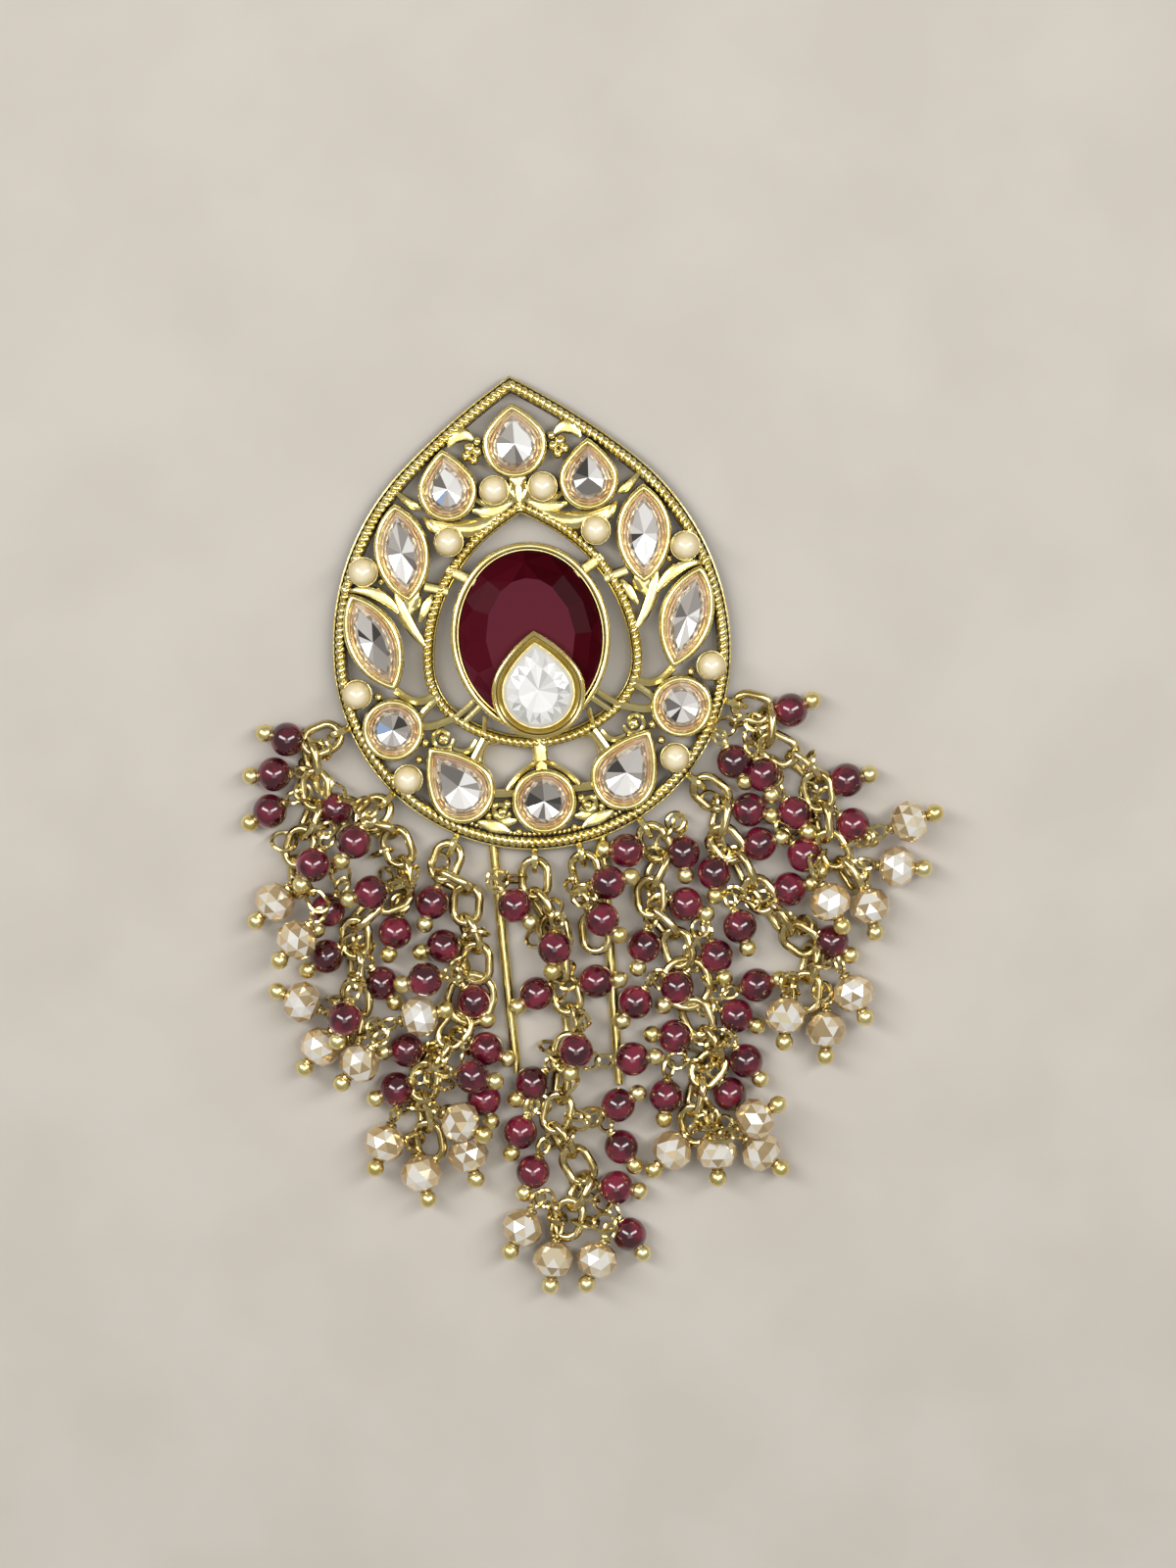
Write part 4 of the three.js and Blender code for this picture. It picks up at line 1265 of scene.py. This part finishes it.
# %% [markdown]
# The drops settle as they do in the frame: where two of them, a drop and a link, the fork or the rim
# come too close, they are pushed apart, over and over. Only pairs that start near each other are tested,
# because drops move little.

# %% Settle the drops
SETTLE_PASSES = 120
DROP_GAP = 0.3
OWN_LINK_ROOM = 1.5
OTHER_LINK_ROOM = 2.5
FORK_POST_STEP = 1.0
TIP_RADIUS = 1.1
TIP_REACH = 0.7
EYE_REACH = 1.4
EYE_RADIUS = 0.5
NEAR = 16.0

drops = []
for index, (_, _, rows) in enumerate(STRANDS):
    for row in rows:
        row["strand"] = index
        row["balls"] = [
            (Vector(), row["radius"]),
            (row["pin"] * (row["radius"] + TIP_REACH), TIP_RADIUS),
            (row["pin"] * -(row["radius"] + EYE_REACH), EYE_RADIUS),
        ]
        drops.append(row)


def move(drop, step):
    drop["place"] += step
    drop["place"].z = max(drop["place"].z, drop["radius"])


def push(ball, place, room):
    away = ball - place
    distance = away.length
    return away * ((room - distance) / distance) if distance < room else None


def push_pair(first, second):
    for offset, radius in first["balls"]:
        for other_offset, other_radius in second["balls"]:
            room = radius + other_radius + DROP_GAP
            step = push(first["place"] + offset, second["place"] + other_offset, room)
            if step:
                move(first, step * 0.5)
                move(second, step * -0.5)


def push_off(drop, place, room, balls):
    for offset, radius in balls:
        step = push(drop["place"] + offset, place, radius + room)
        if step:
            move(drop, step)


def near(drop, places):
    return [place for place in places if (place - drop["place"]).length < NEAR]


fork_points = [Vector((x, y, FORK_RADIUS)) for x, y in FORK_ROUTE]
post_count = math.ceil(route_length(fork_points) / FORK_POST_STEP)
posts = [point_along(fork_points, i * FORK_POST_STEP) for i in range(post_count)]
pairs = [
    (drop, other) for i, drop in enumerate(drops) for other in drops[:i]
    if (drop["place"] - other["place"]).length < NEAR
]
for drop in drops:
    drop["obstacles"] = []
    for index, chain in enumerate(chains):
        own = index == drop["strand"]
        room = OWN_LINK_ROOM if own else OTHER_LINK_ROOM
        balls = drop["balls"][:1] if own else drop["balls"]
        middles = [link["middle"] for link in chain if not link["is_big"]]
        drop["obstacles"] += [(place, room, balls) for place in near(drop, middles)]
    drop["obstacles"] += [(place, FORK_RADIUS + DROP_GAP, drop["balls"]) for place in near(drop, posts)]
for _ in range(SETTLE_PASSES):
    for first, second in pairs:
        push_pair(first, second)
    for drop in drops:
        for place, room, balls in drop["obstacles"]:
            push_off(drop, place, room, balls)
        push_off(drop, RIM_CENTRE + UP * drop["place"].z, RIM_RADIUS + DROP_GAP, drop["balls"])
print("drops settled:", len(drops))

# %% [markdown]
# A drop is a pin with a ball head, a bead on it, and an eye bent at its other end. Where the eye lies
# away from the chain, jump rings reach from it to the nearest link. A crystal is a hull over rings of
# points that are turned by half a step from one to the next, which gives its triangular facets. Its
# facets that face up carry a painted highlight, and the others are painted darker and more amber
# towards the sides. Thin spare loops hang on the links where drops leave room for them.

# %% Shapes of a drop
THIN = {"around": 14, "sides": 6}
JUMP_WIRE = 0.55
EYE_LENGTH = 2.5
EYE_WIDTH = 2.1
JUMP_LENGTH = 2.6
JUMP_WIDTH = 2.8
JUMP_ROLLS = (15, 75)
PIN_RADIUS = 0.3
PIN_OVERLAP = 0.3
PIN_REACH = 0.5
EYE_GAP = 0.4
COLLAR_WIDTH = 1.1
COLLAR_WIRE = 0.5
COLLAR_SHARE = 0.93
CRYSTAL_RINGS = [
    # share of the radius, height along the pin
    (0.30, -0.84), (0.70, -0.66), (0.97, -0.24), (0.97, 0.24), (0.70, 0.66), (0.30, 0.84),
]
CRYSTAL_SIDES = 10
TOP_FACING = 0.75
# Tones of the painted highlight on facets that face up.
TOP_HIGHLIGHT_TONES = (0.35, 0.75, 1.0, 1.0)
FIRST_LOOPED = 2
LOOP_SHARE = 0.6
LOOP_REACH = 2.0
LOOP_ROOM = 1.5


def ball_stamp(radius, around, up):
    bm = bmesh.new()
    bmesh.ops.create_uvsphere(bm, u_segments=around, v_segments=up, radius=radius)
    return as_stamp(bm)


def crystal_looks(turn):
    """Facets that face up get a painted highlight. The others are painted darker as they turn from the light
    above, and show the amber of the glass, more so towards the sides.
    """
    amber = luck.uniform(0.30, 0.80)

    def facing(face):
        return max(0.0, (turn @ face.normal).z)

    def tone_of(face):
        if facing(face) > TOP_FACING:
            return luck.choice(TOP_HIGHLIGHT_TONES)
        return 0.18 + 0.40 * facing(face) + luck.uniform(-0.15, 0.45)

    def edge_of(face):
        return amber * (1 - facing(face))
    return tone_of, edge_of


def crystal_stamp():
    bm = bmesh.new()
    for i, (share, height) in enumerate(CRYSTAL_RINGS):
        turn = Matrix.Rotation(math.pi / CRYSTAL_SIDES * (i % 2), 4, "Z")
        place = Matrix.Translation(UP * height * CRYSTAL_RADIUS) @ turn
        bmesh.ops.create_circle(bm, radius=share * CRYSTAL_RADIUS, segments=CRYSTAL_SIDES, matrix=place)
    bmesh.ops.convex_hull(bm, input=bm.verts)
    bmesh.ops.recalc_face_normals(bm, faces=bm.faces)
    return bm


bead = ball_stamp(BEAD_RADIUS, 20, 14)
tip_ball = ball_stamp(TIP_RADIUS, 12, 9)
eye = as_stamp(ring(EYE_LENGTH - JUMP_WIRE, EYE_WIDTH - JUMP_WIRE, JUMP_WIRE, **THIN))
loop = as_stamp(ring(LOOP_REACH + LINK_WIRE, JUMP_WIDTH, JUMP_WIRE, **THIN))
collar = as_stamp(ring(COLLAR_WIDTH, COLLAR_WIDTH, COLLAR_WIRE, around=10, sides=6))
print("bead:", len(bead.polygons), "faces")

# %% Strands


def hooks_of(link):
    """The middles of a link's long sides, where drops hook on."""
    reach = link["across"] / 2 * HOOK_SHARE
    return [link["matrix"] @ Vector((0, side * reach, 0)) for side in (1, -1)]


def jump_rings(bm, start, end):
    """A run of thin rings from an eye to a link, as many as the way needs."""
    way = end - start
    count = max(1, math.ceil(way.length / JUMP_LENGTH))
    for i in range(count):
        first = start + way * (i / count)
        last = start + way * ((i + 1) / count)
        length = max(way.length / count + JUMP_WIRE, JUMP_WIDTH - JUMP_WIRE)
        roll = math.radians(JUMP_ROLLS[i % 2] + luck.uniform(-12, 12))
        part = ring(length, JUMP_WIDTH - JUMP_WIRE, JUMP_WIRE, **THIN)
        stamp_once(bm, part, ring_frame(first, last, roll))


def spare_loops(bm, link):
    """Thin loops on the long sides of a link, where drops and the fork leave room for them."""
    for hook in hooks_of(link):
        out = (hook - link["middle"]).normalized()
        start, end = hook - out * 0.5 * LINK_WIRE, hook + out * LOOP_REACH
        middle = (start + end) / 2
        free = all((drop["place"] - middle).length > drop["radius"] + LOOP_ROOM for drop in drops)
        free = free and all((post - middle).length > 2 * LOOP_ROOM for post in posts)
        if free and end.z > LINK_WIRE and luck.random() < LOOP_SHARE:
            stamp(bm, loop, ring_frame(start, end, math.radians(luck.uniform(0, 180))))


def hang_drop(gold, tips, drop, hooks):
    """Add a drop's ball to the tips and its pin, eye and rings to the gold. Gives the bead's matrix."""
    place, pin, radius = drop["place"], drop["pin"], drop["radius"]
    along = pin.to_track_quat("Z", "Y").to_matrix().to_4x4()
    here = Matrix.Translation(place) @ along
    stamp(tips, tip_ball, here @ Matrix.Translation(UP * (radius + TIP_REACH)))
    for side in (1, -1):
        stamp(gold, collar, here @ Matrix.Translation(UP * side * COLLAR_SHARE * radius))
    stem = [place - pin * (radius - PIN_OVERLAP), place - pin * (radius + PIN_REACH)]
    stamp_once(gold, bar(stem, [PIN_RADIUS] * 2, [PIN_RADIUS] * 2, sides=6))
    eye_start = place - pin * (radius + EYE_GAP)
    eye_end = eye_start - pin * (EYE_LENGTH - JUMP_WIRE)
    stamp(gold, eye, ring_frame(eye_start, eye_end, math.radians(luck.uniform(0, 60))))
    hook = min(hooks, key=lambda point: (point - eye_end).length)
    jump_rings(gold, eye_end, hook)
    return here


def make_strand(index):
    name = f"strand_{index + 1}"
    gold, tips, beads, crystals = bmesh.new(), bmesh.new(), bmesh.new(), bmesh.new()
    for link in chains[index]:
        part = ring(link["length"], link["across"], LINK_WIRE, around=20, sides=10)
        stamp_once(gold, part, link["matrix"])
    for link in chains[index][FIRST_LOOPED:]:
        spare_loops(gold, link)
    hooks = [hook for link in chains[index] for hook in hooks_of(link)]
    for drop in (d for d in drops if d["strand"] == index):
        here = hang_drop(gold, tips, drop, hooks)
        if drop["radius"] == BEAD_RADIUS:
            stamp(beads, bead, here)
        else:
            cut = crystal_stamp()
            give_tones(cut, *crystal_looks(here.to_3x3()))
            stamp_once(crystals, cut, here, smooth=False)
    for vert in [*gold.verts, *tips.verts]:
        vert.co.z = max(vert.co.z, 0.0)
    make_piece(name + "_chain", gold, chain_gold, [name])
    make_piece(name + "_tips", tips, tip_gold, [name])
    make_piece(name + "_beads", beads, wine_coat, [name])
    if crystals.faces:
        make_piece(name + "_crystals", crystals, champagne_glass, [name])


for index in range(len(STRANDS)):
    make_strand(index)
